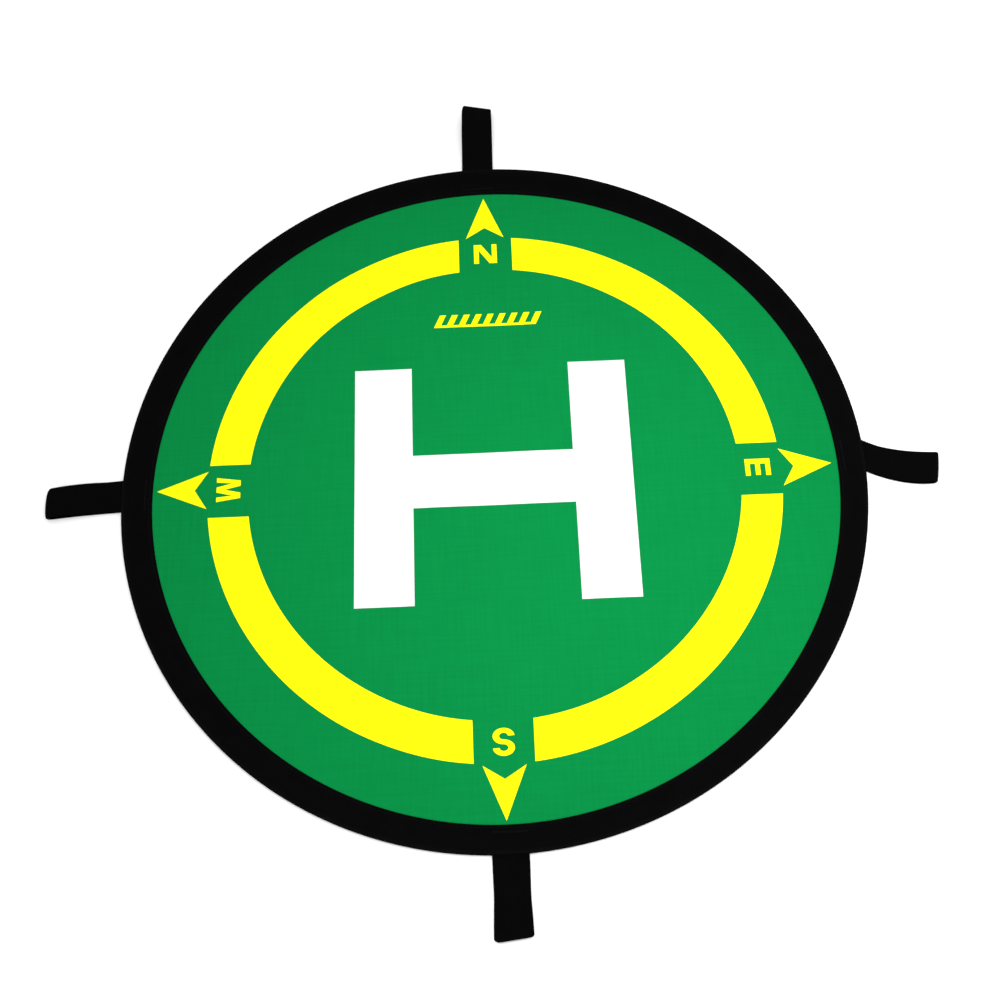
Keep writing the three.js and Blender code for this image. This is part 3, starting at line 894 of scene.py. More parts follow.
def floor_material(name, tint):
    """Matt white paper with a very faint tooth."""
    material = bpy.data.materials.new(name)
    material.use_nodes = True
    nodes, links = material.node_tree.nodes, material.node_tree.links
    nodes.clear()

    place_on = nodes.new("ShaderNodeTexCoord")
    place_on.label = "Place on the paper"
    tooth = nodes.new("ShaderNodeTexNoise")
    tooth.label = "Tooth of the paper"
    relief = nodes.new("ShaderNodeBump")
    relief.label = "Faint relief"
    surface = nodes.new("ShaderNodeBsdfPrincipled")
    surface.label = "Paper"
    output = nodes.new("ShaderNodeOutputMaterial")
    output.label = "Output"
    for node, place in (
        (place_on, (-800, 0)), (tooth, (-600, 0)), (relief, (-350, -100)),
        (surface, (-100, 0)), (output, (200, 0)),
    ):
        node.location = place

    tooth.inputs["Scale"].default_value = 900.0
    relief.inputs["Distance"].default_value = 0.00002
    surface.inputs["Base Color"].default_value = (*tint, 1)
    surface.inputs["Roughness"].default_value = 0.95
    surface.inputs["Specular IOR Level"].default_value = 0.0

    links.new(place_on.outputs["Object"], tooth.inputs["Vector"])
    links.new(tooth.outputs["Fac"], relief.inputs["Height"])
    links.new(relief.outputs["Normal"], surface.inputs["Normal"])
    links.new(surface.outputs["BSDF"], output.inputs["Surface"])
    return material


def shared(name, make, *arguments, **more):
    """The material of that name, made the first time it is asked for."""
    return bpy.data.materials.get(name) or make(name, *arguments, **more)


def yellow_ink(settings):
    """Bright yellow screen ink."""
    return shared(
        "yellow_screen_ink", printed_cloth_material, settings.ink.yellow,
        roughness=0.66, weave=0.00004, cloud=0.05,
    )


def tape_thread(settings):
    """Black sewing thread."""
    return shared("black_thread", thread_material, settings.rim.thread_black)


def black_webbing(settings):
    """Herringbone webbing of the peg loops."""
    return shared(
        "black_webbing", ribbed_tape_material, settings.webbing.black,
        rib=0.0011, chevron=0.8, relief_height=0.00018,
    )


# ---- Cloth ----


def slack(x, y, cloth):
    """Height of the slack in the stretched cloth.

    It is the sum of plane waves, each amplitude * cos(2 pi (x cos a + y sin a) / length + phase), with the
    angles, lengths and phases drawn from a seeded generator, times a smooth fade to nothing at the tape. The
    puckers beside the tape are added: height * cos(count * angle + sway) * exp(-(distance from the tape) /
    reach), which are higher in some places round the seam than in others and die out at the tape's edge."""
    draw = np.random.default_rng(11)
    angle = draw.uniform(0, np.pi, cloth.waves)
    wave = draw.uniform(cloth.shortest, cloth.longest, cloth.waves)
    phase = draw.uniform(0, 2 * np.pi, cloth.waves)
    radius, azimuth = np.hypot(x, y), np.arctan2(y, x)
    turn = (x[..., None] * np.cos(angle) + y[..., None] * np.sin(angle)) * 2 * np.pi / wave + phase
    edge = PANEL_RADIUS - UNDER_TAPE
    waves = np.cos(turn).sum(-1) * cloth.slack / math.sqrt(cloth.waves)
    waves *= smooth_step((edge - radius) / cloth.calm)
    sway = 1.7 * np.sin(5 * azimuth) + 1.1 * np.sin(11 * azimuth + 2)
    puckers = np.cos(cloth.puckers * azimuth + sway) * (0.6 + 0.4 * np.sin(7 * azimuth + 1))
    puckers *= cloth.pucker * np.exp(-np.clip(edge - radius, 0, None) / cloth.pucker_reach)
    end = 0.003  # width over which the puckers die out
    return waves + np.where(radius < edge, puckers, 0) * smooth_step((edge - radius) / end)


def half_disc(radius, half, steps):
    """Plan points and quads of half a disc.

    Half of a square, u from -1 to 1 and v from 0 to 1, is bent into it. Where |u| >= v the distance from
    the centre is |u| and the angle from the fold line is pi / 4 * v / |u|, or pi minus that where u < 0.
    Elsewhere the distance is v and the angle is pi / 2 - pi / 4 * u / v."""
    u, v = np.meshgrid(np.linspace(-1, 1, 2 * steps + 1), np.linspace(0, 1, steps + 1), indexing="ij")
    beside = np.abs(u) >= v
    safe_u, safe_v = np.maximum(np.abs(u), 1e-12), np.maximum(v, 1e-12)
    corner = np.pi / 4 * v / safe_u
    angle = np.where(u < 0, np.pi - corner, corner)
    angle = np.where(beside, angle, np.pi / 2 - np.pi / 4 * u / safe_v) + half.start
    distance = radius * np.where(beside, np.abs(u), v)
    corners, _ = grid_corners(2 * steps + 1, steps + 1)
    return np.stack([distance * np.cos(angle), distance * np.sin(angle)], -1).reshape(-1, 2), corners


class LANDING_PAD_OT_add_cloth(bpy.types.Operator):
    """Adds the printed top cloth and the plain bottom cloth, each as two halves divided on the fold line"""

    bl_idname = "landing_pad.add_cloth"
    bl_label = "Add Cloth"

    def execute(self, context):
        settings = context.scene.landing_pad
        cloth = settings.cloth
        top = printed_cloth_material(
            "green_top_cloth", cloth.green, roughness=0.74, weave=0.00005, cloud=0.1
        )
        under = printed_cloth_material(
            "green_bottom_cloth", cloth.under_green, roughness=0.8, weave=0.00006, cloud=0.16
        )
        gap = 0.00002  # keeps the two panels' faces apart
        panels = (
            ("top_cloth", "top_panel", FACE, CLOTH_THICKNESS - gap, top, "top_cloth"),
            ("bottom_cloth", "bottom_panel", FACE - CLOTH_THICKNESS, CLOTH_THICKNESS, under, "bottom_cloth"),
        )
        for half in HALVES:
            plan, corners = half_disc(PANEL_RADIUS, half, cloth.steps)
            waves = slack(*plan.T, cloth)
            for name, node, level, thickness, material, slot in panels:
                points, patches = film(plan, corners, level + waves, thickness)
                piece = add_piece(f"{name}_{half.name}", points, patches, material, slot)
                stands_for_half(node, half.name)
                bend_over_fold(piece, half.name)
        return {"FINISHED"}


# ---- Print ----


def add_print(name, plan, corners, settings, material, slot):
    """A film of ink over a plan, following the cloth's slack."""
    height = FACE + slack(*plan.T, settings.cloth) + settings.ink.film
    points, patches = film(plan, corners, height, settings.ink.depth)
    return add_piece(name, points, patches, material, slot)


def turned(points, angle):
    """Plan points turned anticlockwise about the centre."""
    cosine, sine = math.cos(angle), math.sin(angle)
    return points @ np.array([[cosine, sine], [-sine, cosine]])


def arc(x, y, radius, start, end, steps):
    """Points (x + r cos a, y + r sin a) for a from start to end, in degrees."""
    angle = np.radians(np.linspace(start, end, steps + 1))
    return np.column_stack([x + radius * np.cos(angle), y + radius * np.sin(angle)])


def h_outline(ink):
    """The H, anticlockwise from its lower left corner."""
    width, height, bar = H_HALF_WIDTH, H_HALF_HEIGHT, H_HALF_WIDTH - ink.bar
    return np.array([
        (-width, -height), (-bar, -height), (-bar, ink.cross_low), (bar, ink.cross_low),
        (bar, -height), (width, -height), (width, height), (bar, height),
        (bar, ink.cross_high), (-bar, ink.cross_high), (-bar, height), (-width, height),
    ])


def letter_n(ink):
    """N, standing on y = 0, centred on x = 0: two uprights and a diagonal from corner to corner."""
    half, high, stroke = 0.00925, LETTER_HEIGHT, ink.stroke
    join = 1.5 * stroke  # how far the diagonal runs along the top and bottom
    notch = 0.31 * high
    return np.array([
        (-half, 0), (-half + stroke, 0), (-half + stroke, high - notch), (half - join, 0), (half, 0),
        (half, high), (half - stroke, high), (half - stroke, notch), (-half + join, high), (-half, high),
    ])


def letter_e(ink):
    """E: an upright and three arms, the middle one a little shorter."""
    half, high, stem = 0.00675, LETTER_HEIGHT, ink.stroke
    arm = 0.88 * stem
    low, short = (high - arm) / 2, half - 0.0004
    return np.array([
        (-half, 0), (half, 0), (half, arm), (-half + stem, arm), (-half + stem, low), (short, low),
        (short, low + arm), (-half + stem, low + arm), (-half + stem, high - arm),
        (half, high - arm), (half, high), (-half, high),
    ])


def letter_s(ink):
    """S: two bowls drawn as arcs, widened, and joined by a slanting middle."""
    stroke, stretch = 0.8 * ink.stroke, 1.27
    bowl = (LETTER_HEIGHT - stroke) / 4
    upper, lower = LETTER_HEIGHT - stroke / 2 - bowl, stroke / 2 + bowl
    big, small = bowl + stroke / 2, bowl - stroke / 2
    points = np.concatenate([
        arc(0, upper, big, 4, 270, 32), arc(0, lower, small, 90, -176, 24),
        arc(0, lower, big, -176, 90, 32), arc(0, upper, small, 270, 4, 24),
    ])
    return points * [stretch, 1]


def letter_w(ink):
    """W: two feet, a middle peak as tall as the outer arms."""
    half, high, stroke = 0.0095, LETTER_HEIGHT, ink.stroke
    foot, leg, peak, arm = 0.0048, 0.53 * stroke, 0.5 * stroke, 0.9 * stroke
    right = np.array([
        (foot - leg, 0), (foot + leg, 0), (half, high), (half - arm, high),
        (foot, 0.35 * high), (peak, high),
    ])
    left = right[::-1] * [-1, 1]
    return np.concatenate([right, left, [(-foot + leg, 0), (0, 0.66 * high)]])


LETTERS = {"n": letter_n, "e": letter_e, "s": letter_s, "w": letter_w}


class Mark(NamedTuple):
    """How a letter and its arrow are printed: size across and tall, shifts to the left and out, a lean."""

    size: tuple
    letter_shift: tuple
    arrow_shift: tuple = (0.0, 0.0)
    lean: float = 0.0  # degrees that the arrow turns anticlockwise about the middle of its tail


MARKS = {
    "n": Mark((0.98, 0.96), (0.0, 0.0008)),
    "e": Mark((1.0, 1.01), (0.0011, -0.0013), (0.0005, -0.0003), 2.2),
    "s": Mark((1.1, 1.06), (0.0, 0.0005), (0.0, 0.0006)),
    "w": Mark((1.02, 0.97), (-0.0012, 0.0003), (-0.0013, 0.0), -0.8),
}


class LANDING_PAD_OT_add_h(bpy.types.Operator):
    """Adds the white H in the middle, as two halves divided on the fold line"""

    bl_idname = "landing_pad.add_h"
    bl_label = "Add H"

    def execute(self, context):
        settings = context.scene.landing_pad
        ink = settings.ink
        white = printed_cloth_material(
            "white_screen_ink", ink.white, roughness=0.62, weave=0.00004, cloud=0.03
        )
        for half in HALVES:
            plan, corners = filled(h_outline(ink), ink.mesh, half.side)
            piece = add_print(f"helipad_h_{half.name}", plan, corners, settings, white, "white_ink")
            stands_for_half("print_h", half.name)
            bend_over_fold(piece, half.name)
        return {"FINISHED"}


def ring_arc(start, end, ink):
    """Plan points and quads of a stretch of the yellow ring.

    start and end are angles, or None where the stretch ends at the gap beside an axis: there the angle is
    asin(gap / radius), so that the end is parallel to the axis."""
    radius = np.linspace(RING_RADIUS - ink.ring_width, RING_RADIUS, 9)[:, None]
    gap = np.arcsin(RING_GAP / radius)
    first = gap if start is None else np.full_like(radius, start)
    last = np.pi / 2 - gap if end is None else np.full_like(radius, end)
    angle = first + (last - first) * np.linspace(0, 1, 96)
    corners, _ = grid_corners(*angle.shape)
    return np.stack([radius * np.cos(angle), radius * np.sin(angle)], -1).reshape(-1, 2), corners


class LANDING_PAD_OT_add_ring(bpy.types.Operator):
    """Adds the yellow ring's four arcs. Those that cross the fold are divided on it"""

    bl_idname = "landing_pad.add_ring"
    bl_label = "Add Ring"

    def execute(self, context):
        settings = context.scene.landing_pad
        yellow = yellow_ink(settings)
        for quarter, turn, body in (("nw", 90, "pad_nw"), ("se", -90, "pad_se")):
            plan, corners = ring_arc(None, None, settings.ink)
            plan = turned(plan, math.radians(turn))
            piece = add_print(f"ring_arc_{quarter}", plan, corners, settings, yellow, "yellow_ink")
            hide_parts(f"print_arc_{quarter}")
            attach(piece, body)
        # The fold line crosses both of the other arcs in their middle, 45 degrees round.
        before, after = (None, math.pi / 4), (math.pi / 4, None)
        for quarter, turn, parts in (("ne", 0, (after, before)), ("sw", 180, (before, after))):
            for half, (start, end) in zip(HALVES, parts):
                plan, corners = ring_arc(start, end, settings.ink)
                plan = turned(plan, math.radians(turn))
                name = f"ring_arc_{quarter}_{half.name}"
                piece = add_print(name, plan, corners, settings, yellow, "yellow_ink")
                stands_for_half(f"print_arc_{quarter}", half.name)
                bend_over_fold(piece, half.name)
        return {"FINISHED"}


class LANDING_PAD_OT_add_compass(bpy.types.Operator):
    """Adds the four compass arrows and their letters, whose tops point out from the pad's centre"""

    bl_idname = "landing_pad.add_compass"
    bl_label = "Add Compass"

    def execute(self, context):
        settings = context.scene.landing_pad
        ink = settings.ink
        yellow = yellow_ink(settings)
        arrow = np.array([
            (0, ARROW_TIP), (-ARROW_HALF_WIDTH, ARROW_TAIL), (0, ARROW_TAIL + ink.notch),
            (ARROW_HALF_WIDTH, ARROW_TAIL),
        ])
        for loop in PEG_LOOPS:
            mark = MARKS[loop.name]
            left, out = mark.letter_shift
            raised = LETTER_FOOT + LETTER_HEIGHT * (1 - mark.size[1]) / 2
            letter = LETTERS[loop.name](ink) * mark.size + [-left, raised + out]
            left, out = mark.arrow_shift
            leaning = turned(arrow - [0, ARROW_TAIL], math.radians(mark.lean)) + [-left, ARROW_TAIL + out]
            for kind, outline in (("arrow", leaning), ("letter", letter)):
                outline = turned(outline, math.radians(loop.azimuth - 90))
                plan, corners = filled(outline, ink.mesh / 2)
                piece = add_print(f"{kind}_{loop.name}", plan, corners, settings, yellow, "yellow_ink")
                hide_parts(f"print_{kind}_{loop.name}")
                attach(piece, "pad_" + loop.half)
        return {"FINISHED"}


class LANDING_PAD_OT_add_dashes(bpy.types.Operator):
    """Adds the row of slanted dashes over the H"""

    bl_idname = "landing_pad.add_dashes"
    bl_label = "Add Dashes"

    def execute(self, context):
        settings = context.scene.landing_pad
        ink = settings.ink
        left, right = DASHES_LOW.x, DASHES_HIGH.x
        foot, top = DASHES_LOW.y + ink.dash_line, DASHES_HIGH.y
        pitch = (right - left - ink.slant) / (ink.dashes - 0.5)
        rise = ink.slant * ink.dash_line / (top - DASHES_LOW.y)
        # One dash from its right foot to its left foot, then the same for the others, right to left.
        wide = pitch / 2
        dash = np.array([(wide + rise, foot), (wide + ink.slant, top), (ink.slant, top), (rise, foot)])
        starts = left + pitch * np.arange(ink.dashes - 1, -1, -1)
        dashes = dash + np.column_stack([starts, np.zeros(ink.dashes)])[:, None]
        line_end = right - ink.slant + rise
        outline = np.concatenate([
            [(left, DASHES_LOW.y), (right - ink.slant, DASHES_LOW.y), (line_end, foot)],
            dashes.reshape(-1, 2)[1:],
        ])
        plan, corners = filled(outline, ink.mesh / 2)
        piece = add_print("dash_row", plan, corners, settings, yellow_ink(settings), "yellow_ink")
        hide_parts("print_dashes")
        bend_over_fold(piece, "nw")
        return {"FINISHED"}


# ---- Rim ----


def rim_place(radius, angle, height, rim):
    """Points of the rim in the frame.

    A point stands at (r cos a, r sin a, height). From the tape's sewn edge to the bead, r grows by
    oval * cos(2 (a - oval angle)) - draw-in, and the centre moves from the sewn edge's to the rim's."""
    edge = PAD_RADIUS - rim.tape_width
    share = np.clip((radius - edge) / (PAD_RADIUS - edge), 0, 1)
    radius = radius + share * (rim.oval * np.cos(2 * (angle - rim.oval_angle)) - rim.draw_in)
    x = radius * np.cos(angle) + rim.edge_drift[0] * (1 - share) + rim.rim_drift[0] * share
    y = radius * np.sin(angle) + rim.edge_drift[1] * (1 - share) + rim.rim_drift[1] * share
    return np.stack(np.broadcast_arrays(x, y, height), axis=-1)


def hump(value, rise, fall):
    """0, then 1, then 0 again. rise and fall each give where a smooth step starts and how far it runs."""
    return smooth_step((value - rise[0]) / rise[1]) * (1 - smooth_step((value - fall[0]) / fall[1]))


def seam_furrow(radius, rim):
    """How deep the seam sinks in: depth * exp(-((r - seam) / width)^2)."""
    width = 0.0006
    return rim.furrow * np.exp(-(((radius - SEAM_RADIUS) / width) ** 2))


def tape_lift(radius, angle, rim):
    """How far the tape's upper ply stands off its plain section.

    Ripples: a sum of cosines round the rim, on the slope. Bulges: exp(-(distance along the rim / half
    width)^8) over each peg loop's ends. The seam's furrow is taken off."""
    slope = hump(radius, rise=(0.256, 0.005), fall=(0.265, 0.006))
    ripple = 0.45 * np.cos(57 * angle) + 0.35 * np.cos(71 * angle + 1.3) + 0.4 * np.cos(34 * angle + 4)
    over_tail = hump(radius, rise=(0.259, 0.006), fall=(0.2715, 0.003))
    bulge_half_width = 0.0145
    lift = rim.ripple * slope * ripple
    for loop in PEG_LOOPS:
        middle = math.radians(loop.azimuth) + loop.drift[0] / PAD_RADIUS
        away = (angle - middle + np.pi) % (2 * np.pi) - np.pi
        lift = lift + rim.bulge * over_tail * np.exp(-((away * PAD_RADIUS / bulge_half_width) ** 8))
    return lift - seam_furrow(radius, rim)


def tape_top(radius, rim):
    """Height of the tape's upper face: flat on the cloth, then a smooth step up to the bead."""
    slope = (radius - rim.slope_start) / (rim.slope_end - rim.slope_start)
    return TAPE_TOP + (RIM_HEIGHT - TAPE_TOP) * smooth_step(slope)


def tape_section(rim):
    """The tape's closed section as radii, heights, and a mark that is 1 on the upper ply and -1 on the lower.

    The outside runs from the upper sewn edge over the bead and back underneath. The inside is the outside
    moved in by the tape's thickness along its normal. A point past each sewn edge rounds it."""
    edge, corner = PAD_RADIUS - rim.tape_width, rim.corner
    beside = 0.0012  # closer points run this far on both sides of the seam
    furrow = SEAM_RADIUS + np.linspace(-beside, beside, 7)
    ply = np.unique(np.concatenate([np.linspace(edge, rim.slope_end, 24), furrow]).round(6))
    quarter = np.linspace(np.pi / 2, 0, 8)
    shoulder = np.column_stack([np.cos(quarter), np.sin(quarter) - 1]) * corner
    heel = np.column_stack([np.sin(quarter), 1 - np.cos(quarter)]) * corner
    outside = np.concatenate([
        np.column_stack([ply, tape_top(ply, rim)]),
        shoulder + [PAD_RADIUS - corner, RIM_HEIGHT],
        heel + [PAD_RADIUS - corner, 0],
        np.column_stack([ply[::-1], np.zeros(len(ply))]),
    ])
    mark = np.zeros(len(outside))
    mark[: len(ply)], mark[-len(ply):] = 1, -1
    tangent = np.gradient(outside, axis=0)
    tangent /= np.linalg.norm(tangent, axis=1)[:, None]
    within = outside - TAPE_THICKNESS * np.column_stack([-tangent[:, 1], tangent[:, 0]])
    rounding = 0.00018
    low_edge = [(edge - rounding, TAPE_THICKNESS / 2)]
    high_edge = [(edge - rounding, TAPE_TOP - TAPE_THICKNESS / 2)]
    section = np.concatenate([outside, low_edge, within[::-1], high_edge])
    return section[:, 0], section[:, 1], np.concatenate([mark, [-1], mark[::-1], [1]])


class LANDING_PAD_OT_add_rim_tape(bpy.types.Operator):
    """Adds the black binding tape, folded round the hoop, as two halves"""

    bl_idname = "landing_pad.add_rim_tape"
    bl_label = "Add Rim Tape"

    def execute(self, context):
        rim = context.scene.landing_pad.rim
        radius, height, mark = tape_section(rim)
        lengths = girth(np.column_stack([radius, height]))
        # bead is the top of the bead, where the tape's painted highlight begins.
        bead = lengths[np.argmax(np.where(mark == 0, height, 0))]
        black = ribbed_tape_material(
            "black_binding_tape", rim.black, rib=0.0009, chevron=0.0, relief_height=0.00012, fold_highlight_line=bead
        )
        under_furrow = 1.6  # how much deeper the seam sinks in below than above
        for half in HALVES:
            angle = half.start + np.linspace(0, np.pi, rim.steps + 1)[:, None]
            lift = tape_lift(radius, angle, rim) * (mark > 0)
            below = under_furrow * seam_furrow(radius, rim) * (mark < 0)
            points = rim_place(radius, angle, height + lift + below, rim)
            points, patches = swept(points, cut_pattern(angle * PAD_RADIUS, lengths))
            piece = add_piece(f"rim_tape_{half.name}", points, patches, black, "binding_tape")
            stands_for_half("binding", half.name, ("spine_ne", "spine_sw"))
            bend_over_fold(piece, half.name)
        return {"FINISHED"}


def stitch_shell(angle, height, rim):
    """A row of stitches on the seam's circle, at the given angles and heights.

    Each is a closed capsule: at s from -1 to 1 along it, its radius is half the thread times
    root(1 - s^8) and its middle stands thread * (0.35 - 0.5 s^2) over its height, so that its ends dip in."""
    sides = 6
    half_stitch = rim.stitch * 0.42  # so that a gap is left between stitches
    s = np.array([-0.97, -0.75, -0.4, 0, 0.4, 0.75, 0.97])
    s_and_tips = np.append(np.repeat(s, sides), [-1, 1])
    turn = np.linspace(0, 2 * np.pi, sides, endpoint=False)
    thick = rim.thread / 2 * np.sqrt(1 - s**8)[:, None]
    along = s_and_tips * half_stitch
    outward = np.append((thick * np.cos(turn)).ravel(), [0, 0])
    dip = rim.thread * (0.35 - 0.5 * s_and_tips**2)
    up = np.append((thick * np.sin(turn)).ravel(), [0, 0]) + dip
    angle = angle[:, None] + along / SEAM_RADIUS
    points = rim_place(SEAM_RADIUS + outward, angle, height[:, None] + up, rim)
    count, size = points.shape[:2]
    quads, cut = grid_corners(len(s), sides, round_columns=True)
    round_thread = 0.0013
    pattern = cut_pattern((s * half_stitch)[:, None], np.linspace(0, round_thread, sides + 1))
    ring = np.arange(sides)
    start_cap = np.column_stack([np.full(sides, size - 2), np.roll(ring, -1), ring])
    end_cap = np.column_stack([np.full(sides, size - 1), ring, np.roll(ring, -1)])
    end_cap[:, 1:] += (len(s) - 1) * sides
    offset = (np.arange(count) * size)[:, None, None]
    patches = [((quads + offset).reshape(-1, 4), np.tile(pattern.reshape(-1, 2)[cut], (count, 1, 1)))]
    for cap in (start_cap, end_cap):
        corners = (cap + offset).reshape(-1, 3)
        patches.append((corners, np.zeros((len(corners), 3, 2))))
    return points.reshape(-1, 3), patches


class LANDING_PAD_OT_add_rim_stitches(bpy.types.Operator):
    """Adds the seam along the tape's sewn edge, stitch by stitch, above and below"""

    bl_idname = "landing_pad.add_rim_stitches"
    bl_label = "Add Rim Stitches"

    def execute(self, context):
        settings = context.scene.landing_pad
        rim = settings.rim
        count = round(math.pi * SEAM_RADIUS / rim.stitch)
        for half in HALVES:
            angle = half.start + (np.arange(count) + 0.5) * math.pi / count
            height = tape_top(SEAM_RADIUS, rim) + tape_lift(SEAM_RADIUS, angle, rim)
            above = stitch_shell(angle, height, rim)
            below = stitch_shell(angle, np.full(count, rim.thread / 2), rim)
            points, patches = joined([above, below])
            thread = tape_thread(settings)
            piece = add_piece(f"rim_stitches_{half.name}", points, patches, thread, "thread")
            stands_for_half("seam_thread", half.name, ("spine_ne", "spine_sw"))
            bend_over_fold(piece, half.name)
        return {"FINISHED"}


def rounded_section(half_width, half_height, radius):
    """A rectangle about the origin whose corners are quarter circles."""
    corner = arc(half_width - radius, half_height - radius, radius, 0, 90, 3)
    return np.concatenate([corner, corner[::-1] * [-1, 1], corner * [-1, -1], corner[::-1] * [1, -1]])


class LANDING_PAD_OT_add_hoop(bpy.types.Operator):
    """Adds the sprung steel hoop inside the rim, with its two ends meeting in the ferrule"""

    bl_idname = "landing_pad.add_hoop"
    bl_label = "Add Hoop"

    def execute(self, context):
        rim = context.scene.landing_pad.rim
        steel = drawn_metal_material("drawn_spring_steel", rim.steel, roughness=0.34)
        half_width, half_height = rim.hoop_thickness / 2, (HOOP_HIGH - HOOP_LOW) / 2
        middle = [HOOP_RADIUS - half_width, (HOOP_LOW + HOOP_HIGH) / 2]
        section = rounded_section(half_width, half_height, half_width * 0.4) + middle
        lengths = girth(section)
        gap = rim.hoop_gap / 2 / HOOP_RADIUS
        spacing = 0.0025  # from one section of the hoop to the next
        for half in HALVES:
            ends = [half.start, half.start + math.pi]
            if half.name == "nw":
                ends[1:1] = [FERRULE_ANGLE - gap, FERRULE_ANGLE + gap]
            shells = []
            for start, end in zip(ends[::2], ends[1::2]):
                steps = round((end - start) * HOOP_RADIUS / spacing)
                angle = np.linspace(start, end, steps + 1)[:, None]
                points = rim_place(section[:, 0], angle, section[:, 1], rim)
                shells.append(swept(points, cut_pattern(angle * HOOP_RADIUS, lengths)))
            piece = add_piece(f"hoop_{half.name}", *joined(shells), steel, "spring_steel")
            if half.name == "nw":
                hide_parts("hoop_west_end", "hoop_north_end", "hoop_spine_ne", "hoop_spine_sw")
            else:
                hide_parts("hoop_se")
            bend_over_fold(piece, half.name)
        return {"FINISHED"}


class LANDING_PAD_OT_add_ferrule(bpy.types.Operator):
    """Adds the flattened tube that both ends of the hoop are pushed into"""

    bl_idname = "landing_pad.add_ferrule"
    bl_label = "Add Ferrule"

    def execute(self, context):
        rim = context.scene.landing_pad.rim
        plated = drawn_metal_material("plated_ferrule", rim.plating, roughness=0.3)
        low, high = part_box("ferrule")
        wall = rim.ferrule_wall
        play = 0.0001  # between the hoop and the ferrule's wall
        half_width = rim.hoop_thickness / 2 + wall + play
        half_height = (high.z - low.z) / 2
        middle = np.array([HOOP_RADIUS - rim.hoop_thickness / 2, (high.z + low.z) / 2])
        outer = rounded_section(half_width, half_height, half_width * 0.8) + middle
        inner = rounded_section(half_width - wall, half_height - wall, (half_width - wall) * 0.6) + middle
        turn = rim.ferrule_length / 2 / HOOP_RADIUS
        angle = FERRULE_ANGLE + np.linspace(-turn, turn, 13)[:, None]
        count = len(outer)
        points, patches = [], []
        for number, section in enumerate((outer, inner)):
            places = rim_place(section[:, 0], angle, section[:, 1], rim)
            pattern = cut_pattern(angle * HOOP_RADIUS, girth(section))
            shell, faces = swept(places, pattern, closed_ends=False)
            corners, cut = faces[0]
            if number:
                corners, cut = corners[:, ::-1], cut[:, ::-1]
            points.append(shell)
            patches.append((corners + number * len(shell), cut))
        # Each end is a ring of quads between the outer and the inner section.
        ring = np.arange(count)
        size = len(points[0])
        for first, order in ((0, slice(None)), (size - count, slice(None, None, -1))):
            quads = np.column_stack([ring, ring + size, (ring + 1) % count + size, (ring + 1) % count])
            quads = quads[:, order] + first
            patches.append((quads, np.zeros((count, 4, 2))))
        piece = add_piece("hoop_ferrule", np.concatenate(points), patches, plated, "ferrule_steel")
        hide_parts("ferrule")
        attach(piece, "pad_nw")
        return {"FINISHED"}


# ---- Peg loops ----


def webbing_section(webbing):
    """The webbing's section, across it and up through it: two flat faces joined by half-round edges."""
    half, radius = webbing.width / 2, webbing.thickness / 2
    flat = np.linspace(half - radius, -(half - radius), 15)
    edge = arc(-(half - radius), 0, radius, 90, 270, 6)[1:-1]
    top = np.column_stack([flat, np.full(len(flat), radius)])
    return np.concatenate([top, edge, -top, -edge])


def loop_frame(loop):
    """Unit vectors out from the rim and to the left, in the plan."""
    azimuth = math.radians(loop.azimuth)
    outward = np.array([math.cos(azimuth), math.sin(azimuth)])
    return outward, np.array([-outward[1], outward[0]])


def reach_of(loop):
    """How far the CAD loop reaches from the pad's centre."""
    low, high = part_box("loop_" + loop.name)
    return max(abs(value) for value in (low.x, low.y, high.x, high.y))


def place_on_loop(out, left, height, loop):
    """Points in the frame from distances out from the centre, to the left, and up."""
    outward, leftward = loop_frame(loop)
    plan = out[..., None] * outward + left[..., None] * leftward
    return np.concatenate([plan, height[..., None]], axis=-1)


